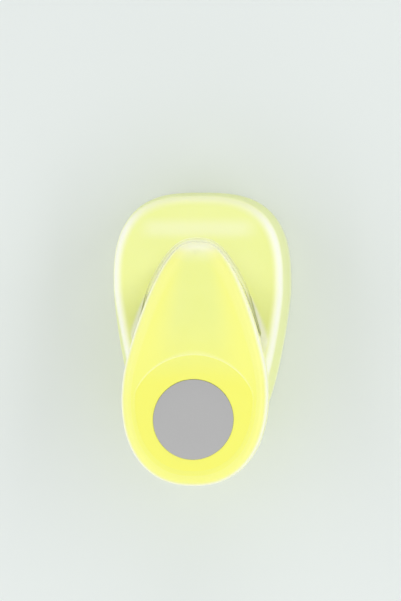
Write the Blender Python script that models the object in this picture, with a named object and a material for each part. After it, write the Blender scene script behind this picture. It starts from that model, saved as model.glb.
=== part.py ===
"""Circle punch with a thumb lever, modelled as separate parts that fit together.

Lengths are in metres and +Z is up. +Y points to the wide end, where the paper goes in,
and the origin lies on the table under the middle of the object.
"""

import math

import bmesh
import bpy
from mathutils import Matrix, Vector

# Clearances
REST_GAP = 0.0003
RUNNING_GAP = 0.0003
CUT_OVERRUN = 0.002
UNION_OVERLAP = 0.0006
MERGE_DISTANCE = 0.0000001

# Smoothness of the round shapes, in counts
OUTLINE_POINTS = 56
OUTLINE_SAMPLES = 240
EDGE_STEPS = 3
CAP_STEPS = 3
LARGE_SEGMENTS = 48
SMALL_SEGMENTS = 16
TINY_SEGMENTS = 12
SHARP_DEGREES = 30.0

# The punched circle and its place
PUNCH_RADIUS = 0.025
PUNCH_Y = 0.0258
PUNCH_TRAVEL = 0.0044
PUNCH_ARM = 0.0242

# Body outline, built round the punch
BODY_SIDE_MARGIN = 0.0146
BODY_FRONT_MARGIN = 0.0125
BODY_WIDEST_SETBACK = 0.0058
BODY_REAR_REACH = 0.069
BODY_FRONT_POWER = 2.9
BODY_REAR_POWER = 5.0
BODY_TAPER_SHARE = 0.31
BODY_TAPER_POWER = 1.3

# Base tray
TRAY_HEIGHT = 0.007
TRAY_FLOOR = 0.002
TRAY_WALL = 0.0024
TRAY_EDGE = 0.0008
CHAD_HOLE_MARGIN = 0.0013
SEAT_RING_WALL = 0.0025

# Die plate, slot and guide plate
DIE_THICKNESS = 0.003
SLOT_HEIGHT = 0.0016
GUIDE_THICKNESS = 0.0024
PLATE_DRAFT_SHARE = 0.25
THROAT_MARGIN = 0.0043
THROAT_LENGTH = 0.0105
SPACER_SIDE_MARGIN = 0.0035

# Rivets through the throat
RIVET_RADIUS = 0.0019
RIVET_HEAD_RADIUS = 0.0034
RIVET_HEAD_HEIGHT = 0.0012
RIVET_INNER_X = 0.0085
RIVET_OUTER_X = 0.0245

# Screws
SCREW_RADIUS = 0.0013
SCREW_HEAD_RADIUS = 0.0024
SCREW_HEAD_HEIGHT = 0.0013
SCREW_SLOT_WIDTH = 0.0007
SCREW_SLOT_DEPTH = 0.0006
SCREW_BOSS_WALL = 0.0011

# Cutter and yoke
CUTTER_LIFT = 0.0004
CUTTER_HEIGHT = 0.012
CUTTER_WALL = 0.0025
CUTTER_TOP = 0.003
YOKE_THICKNESS = 0.003
YOKE_HALF_WIDTH = 0.019
YOKE_HALF_DEPTH = 0.0125
YOKE_CORNER = 0.004
YOKE_WING_HALF_DEPTH = 0.0042
YOKE_PAD_HALF_WIDTH = 0.011
YOKE_PAD_HALF_DEPTH = 0.007
YOKE_PAD_HEIGHT = 0.0024
YOKE_SCREW_X = 0.0152
YOKE_SCREW_Y = 0.0087
YOKE_SCREW_DEPTH = 0.0022

# Guide posts, springs and stop clips
POST_MARGIN = 0.005
POST_RADIUS = 0.0018
POST_SPIGOT_RADIUS = 0.0013
POST_GROOVE_RADIUS = 0.0013
POST_TIP = 0.0009
CLIP_THICKNESS = 0.0008
CLIP_WIDTH = 0.0016
CLIP_MOUTH_DEGREES = 80.0
WIRE_RADIUS = 0.00035
COIL_RADIUS = 0.0029
COIL_TURNS = 5
COIL_TURN_POINTS = 10

# Hinge
PIN_RADIUS = 0.002
PIN_GROOVE_RADIUS = 0.0015
PIN_TIP = 0.001
BRACKET_THICKNESS = 0.0025
BRACKET_EYE_WALL = 0.0022
BRACKET_EYE_DEGREES = 225.0
BRACKET_CUTTER_GAP = 0.0012
BRACKET_LEG_DEPTH = 0.0046
BRACKET_FOOT_WIDTH = 0.0142
BRACKET_FOOT_DEPTH = 0.0052
BRACKET_FOOT_SETBACK = 0.0012
BRACKET_FOOT_HEIGHT = 0.0022
BRACKET_SCREW_PITCH = 0.0054
BRACKET_SCREW_MARGIN = 0.0029

# Lever
LEVER_NOSE_SETBACK = 0.0222
LEVER_NOSE_REACH = 0.0651
LEVER_REAR_REACH = 0.0393
LEVER_HALF_WIDTH = 0.0316
LEVER_NOSE_POWER = 2.7
LEVER_REAR_POWER = 2.3
LEVER_TAPER_SHARE = 0.44
LEVER_TAPER_START_SHARE = 0.10
LEVER_TAPER_SOFT_SHARE = 0.05
LEVER_WALL = 0.003
LEVER_SKIRT = 0.010
LEVER_DRAFT = 0.0004
LEVER_EDGE = 0.0045
LEVER_PROUD = 0.0035
LEVER_NECK_HALF_WIDTH = 0.0055
LEVER_EYE_WALL = 0.0022
LEVER_CAM_RADIUS = 0.004
LEVER_RIB_THICKNESS = 0.002
LEVER_RIB_HEIGHT = 0.0035

# Thumb pad and the disc let into it
PAD_RADIUS = 0.0278
PAD_DEPTH = 0.0004
DISC_RADIUS = 0.017
DISC_THICKNESS = 0.001
DISC_REAR_MARGIN = 0.0284
DISC_EDGE = 0.0002

# Housing cover
HOUSING_TOP = 0.036
HOUSING_DECK = 0.0255
HOUSING_REAR_TOP = 0.0225
HOUSING_WALL = 0.0022
HOUSING_DRAFT = 0.0025
HOUSING_EDGE = 0.005
HOUSING_SLOPE_FRONT_SETBACK = 0.0293
HOUSING_SLOPE_LENGTH = 0.046
OPENING_MARGIN = 0.0005
OPENING_REAR_SETBACK = 0.0683
OPENING_DEPTH = 0.0055

# Screw bosses that join the cover to the tray
BOSS_WALL = 0.0016
BOSS_EDGE_MARGIN = 0.0103
BOSS_THROAT_MARGIN = 0.007
BOSS_REAR_MARGIN = 0.011
BOSS_SCREW_REACH = 0.0055

# Screws that hold the die plate to the tray
DIE_SCREW_MARGIN = 0.0098
DIE_SCREW_DEGREES = 27.5
DIE_SCREW_COVER = 0.0006

# Colours (red, green, blue), roughness and metallic value
LEMON = ((0.90, 0.93, 0.42), 0.32, 0.0)
PALE_LEMON = ((0.86, 0.92, 0.55), 0.34, 0.0)
GREY = ((0.47, 0.47, 0.47), 0.50, 0.0)
STEEL = ((0.62, 0.63, 0.65), 0.30, 1.0)
DARK_STEEL = ((0.32, 0.33, 0.35), 0.38, 1.0)
ZINC = ((0.70, 0.71, 0.70), 0.36, 1.0)

# Places that follow from the sizes above
body_half_width = PUNCH_RADIUS + BODY_SIDE_MARGIN
front_y = PUNCH_Y + PUNCH_RADIUS + BODY_FRONT_MARGIN
widest_y = PUNCH_Y - BODY_WIDEST_SETBACK
rear_y = widest_y - BODY_REAR_REACH
die_low = TRAY_HEIGHT - DIE_THICKNESS
guide_low = TRAY_HEIGHT + SLOT_HEIGHT
guide_high = guide_low + GUIDE_THICKNESS
throat_front_y = PUNCH_Y - PUNCH_RADIUS - THROAT_MARGIN
throat_rear_y = throat_front_y - THROAT_LENGTH
cutter_low = guide_low + CUTTER_LIFT
cutter_high = cutter_low + CUTTER_HEIGHT
yoke_low = cutter_high + REST_GAP
yoke_high = yoke_low + YOKE_THICKNESS
pad_high = yoke_high + YOKE_PAD_HEIGHT
post_x = PUNCH_RADIUS + POST_MARGIN
pivot_y = PUNCH_Y + PUNCH_ARM
pivot_z = pad_high + REST_GAP
eye_radius = PIN_RADIUS + RUNNING_GAP + LEVER_EYE_WALL
bracket_x = LEVER_NECK_HALF_WIDTH + REST_GAP
bracket_outer_x = bracket_x + BRACKET_THICKNESS
leg_rear_y = PUNCH_Y + PUNCH_RADIUS + BRACKET_CUTTER_GAP
housing_low = guide_low + REST_GAP
nose_y = front_y - LEVER_NOSE_SETBACK
lever_widest_y = nose_y - LEVER_NOSE_REACH
lever_rear_y = lever_widest_y - LEVER_REAR_REACH
lever_slope = PUNCH_TRAVEL / PUNCH_ARM
disc_y = lever_rear_y + DISC_REAR_MARGIN
lever_axis = Vector((0.0, pivot_y, pivot_z))
punch_axis = Vector((0.0, PUNCH_Y, cutter_low))


def clear_scene():
    """Remove whatever the scene holds."""
    for item in list(bpy.data.objects):
        bpy.data.objects.remove(item, do_unlink=True)


# Outlines


def tip_share(along, power):
    """Share of the width that is left at a share of the reach, on a rounded end."""
    return max(0.0, 1.0 - along**power) ** (1.0 / power)


def even_width(along):
    return 1.0


def body_rear_width(along):
    return 1.0 - BODY_TAPER_SHARE * along**BODY_TAPER_POWER


def lever_front_width(along):
    """Constant at first, then a straight taper toward the nose, with a soft change."""
    past = (along - LEVER_TAPER_START_SHARE) / LEVER_TAPER_SOFT_SHARE
    soft = LEVER_TAPER_SOFT_SHARE * math.log(1.0 + math.exp(past))
    return 1.0 - LEVER_TAPER_SHARE * soft


def half_end(start_y, reach, half_width, width_rule, power, inset):
    """Points from the widest place to the tip of one end, on the +X side."""
    sign = math.copysign(1.0, reach)
    length = abs(reach) - inset
    points = []
    for step in range(OUTLINE_SAMPLES + 1):
        along = 1.0 - (1.0 - step / OUTLINE_SAMPLES) ** 3
        width = half_width * width_rule(along) - inset
        x = max(0.0, width) * tip_share(along, power)
        points.append((x, start_y + sign * along * length))
    return points


def even_points(points, count):
    """The same line with evenly spaced points, the ends kept."""
    lengths = [0.0]
    for first, second in zip(points, points[1:]):
        lengths.append(lengths[-1] + math.dist(first, second))
    spaced = []
    place = 0
    for step in range(count + 1):
        target = lengths[-1] * step / count
        while place < len(points) - 2 and lengths[place + 1] < target:
            place += 1
        span = lengths[place + 1] - lengths[place]
        share = (target - lengths[place]) / span if span else 0.0
        first, second = points[place], points[place + 1]
        spaced.append(tuple(a + (b - a) * share for a, b in zip(first, second)))
    return spaced


def whole_outline(front, rear):
    """A closed outline from its front and rear ends, mirrored to the -X side."""
    half = even_points(front[::-1] + rear[1:], OUTLINE_POINTS // 2)
    left = [(-x, y) for x, y in half[-2:0:-1]]
    return half + left


def body_outline(inset=0.0):
    front = half_end(
        widest_y, front_y - widest_y, body_half_width, even_width, BODY_FRONT_POWER, inset
    )
    rear = half_end(
        widest_y, -BODY_REAR_REACH, body_half_width, body_rear_width, BODY_REAR_POWER, inset
    )
    return whole_outline(front, rear)


def lever_outline(inset=0.0):
    front = half_end(
        lever_widest_y, LEVER_NOSE_REACH, LEVER_HALF_WIDTH, lever_front_width, LEVER_NOSE_POWER, inset
    )
    rear = half_end(
        lever_widest_y, -LEVER_REAR_REACH, LEVER_HALF_WIDTH, even_width, LEVER_REAR_POWER, inset
    )
    return whole_outline(front, rear)


def width_at(outline, y):
    """Half width of an outline at a given Y."""
    half = outline[: OUTLINE_POINTS // 2 + 1]
    for first, second in zip(half, half[1:]):
        if second[1] <= y <= first[1]:
            share = (first[1] - y) / (first[1] - second[1])
            return first[0] + (second[0] - first[0]) * share
    return 0.0


def front_part(outline, limit_y):
    """The part of an outline in front of a straight edge at limit_y."""
    width = width_at(outline, limit_y)
    half = [point for point in outline[: OUTLINE_POINTS // 2 + 1] if point[1] > limit_y]
    right = half + [(width, limit_y)]
    left = [(-x, y) for x, y in right[:0:-1]]
    return right + left


def circle_points(radius, segments, centre=(0.0, 0.0)):
    turns = [2.0 * math.pi * step / segments for step in range(segments)]
    return [(centre[0] + radius * math.cos(t), centre[1] + radius * math.sin(t)) for t in turns]


def rounded_rectangle(half_width, half_depth, corner, centre_y):
    """Corners are arcs of four steps."""
    points = []
    for quarter, (sx, sy) in enumerate(((1, 1), (-1, 1), (-1, -1), (1, -1))):
        for step in range(EDGE_STEPS + 1):
            turn = math.pi / 2.0 * (quarter + step / EDGE_STEPS)
            x = sx * (half_width - corner) + corner * math.cos(turn)
            y = sy * (half_depth - corner) + corner * math.sin(turn)
            points.append((x, centre_y + y))
    return points


# Solids


def prism(points, low, high):
    """An outline in XY raised from one height to another."""
    mesh = bmesh.new()
    bottom = [mesh.verts.new((x, y, low)) for x, y in points]
    face = mesh.faces.new(bottom)
    raised = bmesh.ops.extrude_face_region(mesh, geom=[face])["geom"]
    top = [item for item in raised if isinstance(item, bmesh.types.BMVert)]
    bmesh.ops.translate(mesh, verts=top, vec=(0.0, 0.0, high - low))
    return mesh


def side_prism(points, x_low, x_high):
    """An outline in YZ carried along X."""
    mesh = prism(points, x_low, x_high)
    turn = Matrix(((0, 0, 1, 0), (1, 0, 0, 0), (0, 1, 0, 0), (0, 0, 0, 1)))
    bmesh.ops.transform(mesh, matrix=turn, verts=mesh.verts)
    return mesh


def block(low, high):
    corners = [(low[0], low[1]), (high[0], low[1]), (high[0], high[1]), (low[0], high[1])]
    return prism(corners, low[2], high[2])


def cylinder(centre, radius, low, high, segments=SMALL_SEGMENTS):
    return prism(circle_points(radius, segments, centre), low, high)


def turned(profile, segments):
    """A profile of (radius, height) points from the top to the bottom, turned about Z."""
    mesh = bmesh.new()
    points = [mesh.verts.new((radius, 0.0, height)) for radius, height in profile]
    edges = [mesh.edges.new(pair) for pair in zip(points, points[1:])]
    bmesh.ops.spin(
        mesh,
        geom=points + edges,
        cent=(0.0, 0.0, 0.0),
        axis=(0.0, 0.0, 1.0),
        angle=2.0 * math.pi,
        steps=segments,
        use_merge=True,
    )
    bmesh.ops.remove_doubles(mesh, verts=mesh.verts, dist=MERGE_DISTANCE)
    return mesh


def moved(mesh, place):
    bmesh.ops.translate(mesh, verts=mesh.verts, vec=place)
    return mesh


def along_x(mesh):
    """Turn a solid that stands along Z so that it lies along X."""
    turn = Matrix.Rotation(math.pi / 2.0, 4, "Y")
    bmesh.ops.transform(mesh, matrix=turn, verts=mesh.verts)
    return mesh


def join_rings(mesh, rings):
    """Skin a stack of rings that have equally many points."""
    for lower, upper in zip(rings, rings[1:]):
        count = len(lower)
        for place in range(count):
            after = (place + 1) % count
            mesh.faces.new((lower[place], lower[after], upper[after], upper[place]))


def close_ring(mesh, ring, middle):
    """Fill a ring with triangles to a point in its middle."""
    centre = mesh.verts.new(middle)
    for place, vert in enumerate(ring):
        mesh.faces.new((vert, ring[(place + 1) % len(ring)], centre))


def shell_rings(outline, top_rule, low_rule, inset, draft, edge, centre_y):
    """Rings of a drafted wall, a rounded edge and a cap, from the bottom to the middle."""
    rings = [[(x, y, low_rule(y)) for x, y in outline(inset)]]
    for step in range(EDGE_STEPS + 1):
        turn = math.pi / 2.0 * step / EDGE_STEPS
        inward = inset + draft + edge * (1.0 - math.cos(turn))
        drop = edge * (1.0 - math.sin(turn))
        rings.append([(x, y, top_rule(y) - drop) for x, y in outline(inward)])
    rim = rings[-1]
    for step in range(1, CAP_STEPS):
        share = 1.0 - step / CAP_STEPS
        ring = []
        for x, y, _ in rim:
            ring_y = centre_y + (y - centre_y) * share
            ring.append((x * share, ring_y, top_rule(ring_y)))
        rings.append(ring)
    return rings


def shell(outline, top_rule, low_rule, wall, draft, edge, centre_y):
    """An open-bottomed shell of even wall, as one closed solid."""
    mesh = bmesh.new()
    outer = shell_rings(outline, top_rule, low_rule, 0.0, draft, edge, centre_y)
    inner = shell_rings(outline, lambda y: top_rule(y) - wall, low_rule, wall, draft, edge - wall, centre_y)
    for rings, height in ((outer, top_rule(centre_y)), (inner, top_rule(centre_y) - wall)):
        made = [[mesh.verts.new(point) for point in ring] for ring in rings]
        join_rings(mesh, made)
        close_ring(mesh, made[-1], (0.0, centre_y, height))
        rings[0] = made[0]
    join_rings(mesh, [outer[0], inner[0]])
    return mesh


# Objects


def finish_material(name, finish):
    colour, roughness, metallic = finish
    material = bpy.data.materials.new(name + "_finish")
    material.use_nodes = True
    shader = material.node_tree.nodes["Principled BSDF"]
    shader.inputs["Base Color"].default_value = (*colour, 1.0)
    shader.inputs["Roughness"].default_value = roughness
    shader.inputs["Metallic"].default_value = metallic
    return material


def add_object(name, mesh, finish=None, origin=Vector((0.0, 0.0, 0.0))):
    """Make an object of a solid given in world coordinates, with its origin at a point."""
    bmesh.ops.recalc_face_normals(mesh, faces=mesh.faces)
    bmesh.ops.translate(mesh, verts=mesh.verts, vec=-origin)
    data = bpy.data.meshes.new(name)
    mesh.to_mesh(data)
    mesh.free()
    made = bpy.data.objects.new(name, data)
    made.location = origin
    bpy.context.collection.objects.link(made)
    data.shade_smooth()
    data.set_sharp_from_angle(angle=math.radians(SHARP_DEGREES))
    if finish:
        data.materials.append(finish_material(name, finish))
    return made


def combine(target, mesh, operation):
    """Add or cut away a solid with a Boolean modifier."""
    place = len(target.modifiers) + 1
    guide = add_object(f"{target.name}_guide_{place}", mesh)
    guide.hide_render = True
    guide.display_type = "WIRE"
    step = target.modifiers.new(f"{operation.lower()}_{place}", "BOOLEAN")
    step.operation = operation
    step.solver = "EXACT"
    step.object = guide


def add(target, mesh):
    combine(target, mesh, "UNION")


def cut(target, mesh):
    combine(target, mesh, "DIFFERENCE")


def hole_through(target, centre, radius, low, high):
    cut(target, cylinder(centre, radius, low - CUT_OVERRUN, high + CUT_OVERRUN, TINY_SEGMENTS))


# Fasteners


def screw(name, centre, head_low, head_high, tip, finish=ZINC, origin=Vector((0.0, 0.0, 0.0))):
    """A screw whose head lies between two heights, with its shank running to the tip."""
    points_up = tip > head_high
    shank_start = head_high if points_up else head_low
    head_end = head_low if points_up else head_high
    profile = [
        (0.0, tip),
        (SCREW_RADIUS, tip),
        (SCREW_RADIUS, shank_start),
        (SCREW_HEAD_RADIUS, shank_start),
        (SCREW_HEAD_RADIUS, head_end),
        (0.0, head_end),
    ]
    made = add_object(name, moved(turned(profile, TINY_SEGMENTS), (*centre, 0.0)), finish, origin)
    depth = SCREW_SLOT_DEPTH if points_up else -SCREW_SLOT_DEPTH
    slot_low, slot_high = sorted((head_end + depth, head_end - math.copysign(CUT_OVERRUN, depth)))
    half = SCREW_SLOT_WIDTH / 2.0
    reach = SCREW_HEAD_RADIUS + CUT_OVERRUN
    x, y = centre
    cut(made, block((x - reach, y - half, slot_low), (x + reach, y + half, slot_high)))
    return made


def rivet(name, centre):
    """A rivet through die plate, spacer and guide plate, with a head at each end."""
    low = die_low - REST_GAP
    high = guide_high + REST_GAP
    profile = [
        (0.0, high + RIVET_HEAD_HEIGHT),
        (RIVET_RADIUS, high + RIVET_HEAD_HEIGHT),
        (RIVET_HEAD_RADIUS, high),
        (RIVET_RADIUS, high),
        (RIVET_RADIUS, low),
        (RIVET_HEAD_RADIUS, low),
        (RIVET_RADIUS, low - RIVET_HEAD_HEIGHT),
        (0.0, low - RIVET_HEAD_HEIGHT),
    ]
    return add_object(name, moved(turned(profile, TINY_SEGMENTS), (*centre, 0.0)), STEEL)


def clip_ring(groove_radius):
    """A flat ring with a mouth, lying about Z from zero height upward."""
    inner = groove_radius + REST_GAP
    outer = inner + CLIP_WIDTH
    start = math.radians(CLIP_MOUTH_DEGREES / 2.0)
    sweep = 2.0 * math.pi - 2.0 * start
    turns = [start + sweep * step / SMALL_SEGMENTS for step in range(SMALL_SEGMENTS + 1)]
    outside = [(outer * math.cos(t), outer * math.sin(t)) for t in turns]
    inside = [(inner * math.cos(t), inner * math.sin(t)) for t in reversed(turns)]
    return prism(outside + inside, 0.0, CLIP_THICKNESS)


# Places of the repeated pieces


def sides():
    return (("left", -1.0), ("right", 1.0))


def rivet_places():
    y = (throat_front_y + throat_rear_y) / 2.0
    return [(x, y) for x in (-RIVET_OUTER_X, -RIVET_INNER_X, RIVET_INNER_X, RIVET_OUTER_X)]


def housing_screw_places():
    outline = body_outline()
    places = []
    for y in (throat_rear_y - BOSS_THROAT_MARGIN, rear_y + BOSS_REAR_MARGIN):
        x = width_at(outline, y) - BOSS_EDGE_MARGIN
        places += [(-x, y), (x, y)]
    return places


def die_screw_places():
    reach = PUNCH_RADIUS + DIE_SCREW_MARGIN
    turn = math.radians(DIE_SCREW_DEGREES)
    x, y = reach * math.cos(turn), reach * math.sin(turn)
    return [(sx * x, PUNCH_Y + sy * y) for sx in (-1.0, 1.0) for sy in (-1.0, 1.0)]


def bracket_screw_places(side):
    y = leg_rear_y - BRACKET_FOOT_SETBACK + BRACKET_FOOT_DEPTH / 2.0
    first = bracket_outer_x + BRACKET_SCREW_MARGIN
    return [(side * x, y) for x in (first, first + BRACKET_SCREW_PITCH)]


def yoke_screw_places():
    return [
        (sx * YOKE_SCREW_X, PUNCH_Y + sy * YOKE_SCREW_Y) for sx in (-1.0, 1.0) for sy in (-1.0, 1.0)
    ]


# Base and plates


def base_tray():
    """The moulded underside: a shallow tray, open under the die."""
    rim_high = guide_low
    mesh = bmesh.new()
    levels = [(TRAY_EDGE, 0.0), (0.0, TRAY_EDGE), (0.0, rim_high)]
    rings = [[mesh.verts.new((x, y, z)) for x, y in body_outline(inset)] for inset, z in levels]
    join_rings(mesh, rings)
    mesh.faces.new(rings[0])
    mesh.faces.new(rings[-1])
    tray = add_object("base_tray", mesh, PALE_LEMON)
    far = body_half_width + CUT_OVERRUN
    cut(tray, prism(body_outline(TRAY_WALL), TRAY_FLOOR, rim_high + CUT_OVERRUN))
    slot_rear_y = throat_front_y
    cut(tray, block((-far, slot_rear_y, TRAY_HEIGHT), (far, front_y + CUT_OVERRUN, rim_high + CUT_OVERRUN)))
    hole = PUNCH_RADIUS + CHAD_HOLE_MARGIN
    seat_high = die_low - REST_GAP
    floor_low = TRAY_FLOOR - UNION_OVERLAP
    centre = (0.0, PUNCH_Y)
    add(tray, cylinder(centre, hole + SEAT_RING_WALL, floor_low, seat_high, LARGE_SEGMENTS))
    head_room = SCREW_HEAD_RADIUS + REST_GAP
    for place in die_screw_places():
        add(tray, cylinder(place, head_room + SCREW_BOSS_WALL, floor_low, seat_high))
    for place in housing_screw_places():
        add(tray, cylinder(place, head_room + SCREW_BOSS_WALL, floor_low, rim_high))
    cut(tray, cylinder(centre, hole, -CUT_OVERRUN, seat_high + CUT_OVERRUN, LARGE_SEGMENTS))
    head_high = REST_GAP + SCREW_HEAD_HEIGHT + REST_GAP
    for place in die_screw_places() + housing_screw_places():
        cut(tray, cylinder(place, head_room, -CUT_OVERRUN, head_high))
        cut(tray, cylinder(place, SCREW_RADIUS + REST_GAP, -CUT_OVERRUN, rim_high + CUT_OVERRUN))
    return tray


def plate(name, inset, low, high):
    """A steel plate that follows the body outline in front of the throat's rear edge."""
    made = add_object(name, prism(front_part(body_outline(inset), throat_rear_y), low, high), STEEL)
    hole = PUNCH_RADIUS + RUNNING_GAP
    cut(made, cylinder((0.0, PUNCH_Y), hole, low - CUT_OVERRUN, high + CUT_OVERRUN, LARGE_SEGMENTS))
    for place in rivet_places():
        hole_through(made, place, RIVET_RADIUS + REST_GAP, low, high)
    return made


def die_plate():
    made = plate("die_plate", TRAY_WALL + REST_GAP, die_low, TRAY_HEIGHT)
    for place in die_screw_places():
        hole_through(made, place, SCREW_RADIUS + REST_GAP, die_low, TRAY_HEIGHT)
    return made


def guide_plate():
    inset = HOUSING_WALL + HOUSING_DRAFT * PLATE_DRAFT_SHARE + REST_GAP
    made = plate("guide_plate", inset, guide_low, guide_high)
    for _, side in sides():
        post = (side * post_x, PUNCH_Y)
        hole_through(made, post, POST_SPIGOT_RADIUS + REST_GAP, guide_low, guide_high)
        for place in bracket_screw_places(side):
            hole_through(made, place, SCREW_RADIUS + REST_GAP, guide_low, guide_high)
    return made


def throat_spacer():
    """The strip that keeps the two plates apart and stops the paper."""
    low = TRAY_HEIGHT + REST_GAP
    high = guide_low - REST_GAP
    half_width = width_at(body_outline(), throat_rear_y) - TRAY_WALL - SPACER_SIDE_MARGIN
    mesh = block((-half_width, throat_rear_y, low), (half_width, throat_front_y, high))
    made = add_object("throat_spacer", mesh, DARK_STEEL)
    for place in rivet_places():
        hole_through(made, place, RIVET_RADIUS + REST_GAP, low, high)
    return made


# Punch


def punch_cutter():
    """The round steel cutter, hollow below so that only its rim cuts."""
    inner = PUNCH_RADIUS - CUTTER_WALL
    ceiling = cutter_high - CUTTER_TOP
    profile = [
        (0.0, cutter_high),
        (PUNCH_RADIUS, cutter_high),
        (PUNCH_RADIUS, cutter_low),
        (inner, cutter_low),
        (inner, ceiling),
        (0.0, ceiling),
    ]
    mesh = moved(turned(profile, LARGE_SEGMENTS), (0.0, PUNCH_Y, 0.0))
    made = add_object("punch_cutter", mesh, STEEL, punch_axis)
    for place in yoke_screw_places():
        hole_through(made, place, SCREW_RADIUS + REST_GAP, ceiling, cutter_high)
    return made


def punch_yoke():
    """The bridge on the cutter: wings run on the posts, and the lever presses its pad."""
    centre = rounded_rectangle(YOKE_HALF_WIDTH, YOKE_HALF_DEPTH, YOKE_CORNER, PUNCH_Y)
    made = add_object("punch_yoke", prism(centre, yoke_low, yoke_high), DARK_STEEL, punch_axis)
    wing = rounded_rectangle(
        post_x + YOKE_WING_HALF_DEPTH, YOKE_WING_HALF_DEPTH, YOKE_WING_HALF_DEPTH, PUNCH_Y
    )
    add(made, prism(wing, yoke_low, yoke_high))
    pad_low = yoke_high - UNION_OVERLAP
    add(
        made,
        block(
            (-YOKE_PAD_HALF_WIDTH, PUNCH_Y - YOKE_PAD_HALF_DEPTH, pad_low),
            (YOKE_PAD_HALF_WIDTH, PUNCH_Y + YOKE_PAD_HALF_DEPTH, pad_high),
        ),
    )
    for _, side in sides():
        hole_through(made, (side * post_x, PUNCH_Y), POST_RADIUS + RUNNING_GAP, yoke_low, yoke_high)
    for place in yoke_screw_places():
        hole_through(made, place, SCREW_RADIUS + REST_GAP, yoke_low, yoke_high)
    return made


def yoke_screws():
    low = yoke_high + REST_GAP
    tip = cutter_high - YOKE_SCREW_DEPTH
    for number, place in enumerate(yoke_screw_places(), 1):
        screw(f"yoke_screw_{number}", place, low, low + SCREW_HEAD_HEIGHT, tip, ZINC, punch_axis)


# Posts, springs and stops


def guide_post(name, side):
    shoulder = guide_high + REST_GAP
    groove_low = yoke_high + REST_GAP
    groove_high = groove_low + CLIP_THICKNESS + REST_GAP
    profile = [
        (0.0, groove_high + POST_TIP),
        (POST_RADIUS, groove_high + POST_TIP),
        (POST_RADIUS, groove_high),
        (POST_GROOVE_RADIUS, groove_high),
        (POST_GROOVE_RADIUS, groove_low),
        (POST_RADIUS, groove_low),
        (POST_RADIUS, shoulder),
        (POST_SPIGOT_RADIUS, shoulder),
        (POST_SPIGOT_RADIUS, guide_low + REST_GAP),
        (0.0, guide_low + REST_GAP),
    ]
    mesh = moved(turned(profile, TINY_SEGMENTS), (side * post_x, PUNCH_Y, 0.0))
    return add_object(name, mesh, STEEL)


def post_clip(name, side):
    """The clip on a post, where the yoke stops at the top of its stroke."""
    low = yoke_high + REST_GAP + REST_GAP / 2.0
    return add_object(name, moved(clip_ring(POST_GROOVE_RADIUS), (side * post_x, PUNCH_Y, low)), DARK_STEEL)


def coil_points(length):
    """Points of a coil about Z, its lowest point a wire radius above zero."""
    steps = COIL_TURNS * COIL_TURN_POINTS
    points = []
    for step in range(steps + 1):
        turn = 2.0 * math.pi * step / COIL_TURN_POINTS
        height = WIRE_RADIUS + (length - 2.0 * WIRE_RADIUS) * step / steps
        points.append(Vector((COIL_RADIUS * math.cos(turn), COIL_RADIUS * math.sin(turn), height)))
    return points


def least_coil_gap(points):
    """Least distance between the surfaces of neighbouring turns."""
    ahead = COIL_TURN_POINTS // 2
    least = min(
        (first - second).length
        for place, first in enumerate(points)
        for second in points[place + ahead :]
    )
    return least - 2.0 * WIRE_RADIUS


def return_spring(name, side):
    low = guide_high + REST_GAP
    points = coil_points(yoke_low - REST_GAP - low)
    data = bpy.data.curves.new(name, "CURVE")
    data.dimensions = "3D"
    data.bevel_depth = WIRE_RADIUS
    data.bevel_resolution = 1
    data.use_fill_caps = True
    line = data.splines.new("POLY")
    line.points.add(len(points) - 1)
    for point, place in zip(line.points, points):
        point.co = (*place, 1.0)
    made = bpy.data.objects.new(name, data)
    made.location = (side * post_x, PUNCH_Y, low)
    bpy.context.collection.objects.link(made)
    data.materials.append(finish_material(name, STEEL))
    print(f"{name}: least gap between turns {1000.0 * least_coil_gap(points):.2f} mm")
    return made


# Hinge


def bracket_profile():
    """The bracket's upright in YZ: a leg in front of the cutter, leaning back to the eye."""
    radius = PIN_RADIUS + RUNNING_GAP + BRACKET_EYE_WALL
    low = guide_high + REST_GAP
    leg_front_y = leg_rear_y + BRACKET_LEG_DEPTH
    bend = pivot_z - radius - radius / 2.0
    points = [(leg_rear_y, low), (leg_front_y, low)]
    for step in range(SMALL_SEGMENTS // 2 + 1):
        turn = math.radians(BRACKET_EYE_DEGREES) * step / (SMALL_SEGMENTS // 2)
        points.append((pivot_y + radius * math.cos(turn), pivot_z + radius * math.sin(turn)))
    points.append((leg_rear_y, bend))
    return points


def hinge_bracket(name, side):
    x_low, x_high = sorted((side * bracket_x, side * bracket_outer_x))
    made = add_object(name, side_prism(bracket_profile(), x_low, x_high), DARK_STEEL)
    low = guide_high + REST_GAP
    foot_rear_y = leg_rear_y - BRACKET_FOOT_SETBACK
    foot_x = sorted((side * bracket_x, side * (bracket_x + BRACKET_FOOT_WIDTH)))
    foot_low = (foot_x[0], foot_rear_y, low)
    foot_high = (foot_x[1], foot_rear_y + BRACKET_FOOT_DEPTH, low + BRACKET_FOOT_HEIGHT)
    add(made, block(foot_low, foot_high))
    eye_end = BRACKET_THICKNESS + CUT_OVERRUN
    eye = along_x(cylinder((0.0, 0.0), PIN_RADIUS + RUNNING_GAP, -CUT_OVERRUN, eye_end))
    cut(made, moved(eye, (x_low, pivot_y, pivot_z)))
    for place in bracket_screw_places(side):
        hole_through(made, place, SCREW_RADIUS + REST_GAP, foot_low[2], foot_high[2])
    return made


def bracket_screws():
    low = guide_high + REST_GAP + BRACKET_FOOT_HEIGHT + REST_GAP
    tip = guide_low + REST_GAP
    for word, side in sides():
        for number, place in enumerate(bracket_screw_places(side), 1):
            screw(f"bracket_screw_{word}_{number}", place, low, low + SCREW_HEAD_HEIGHT, tip)


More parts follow.
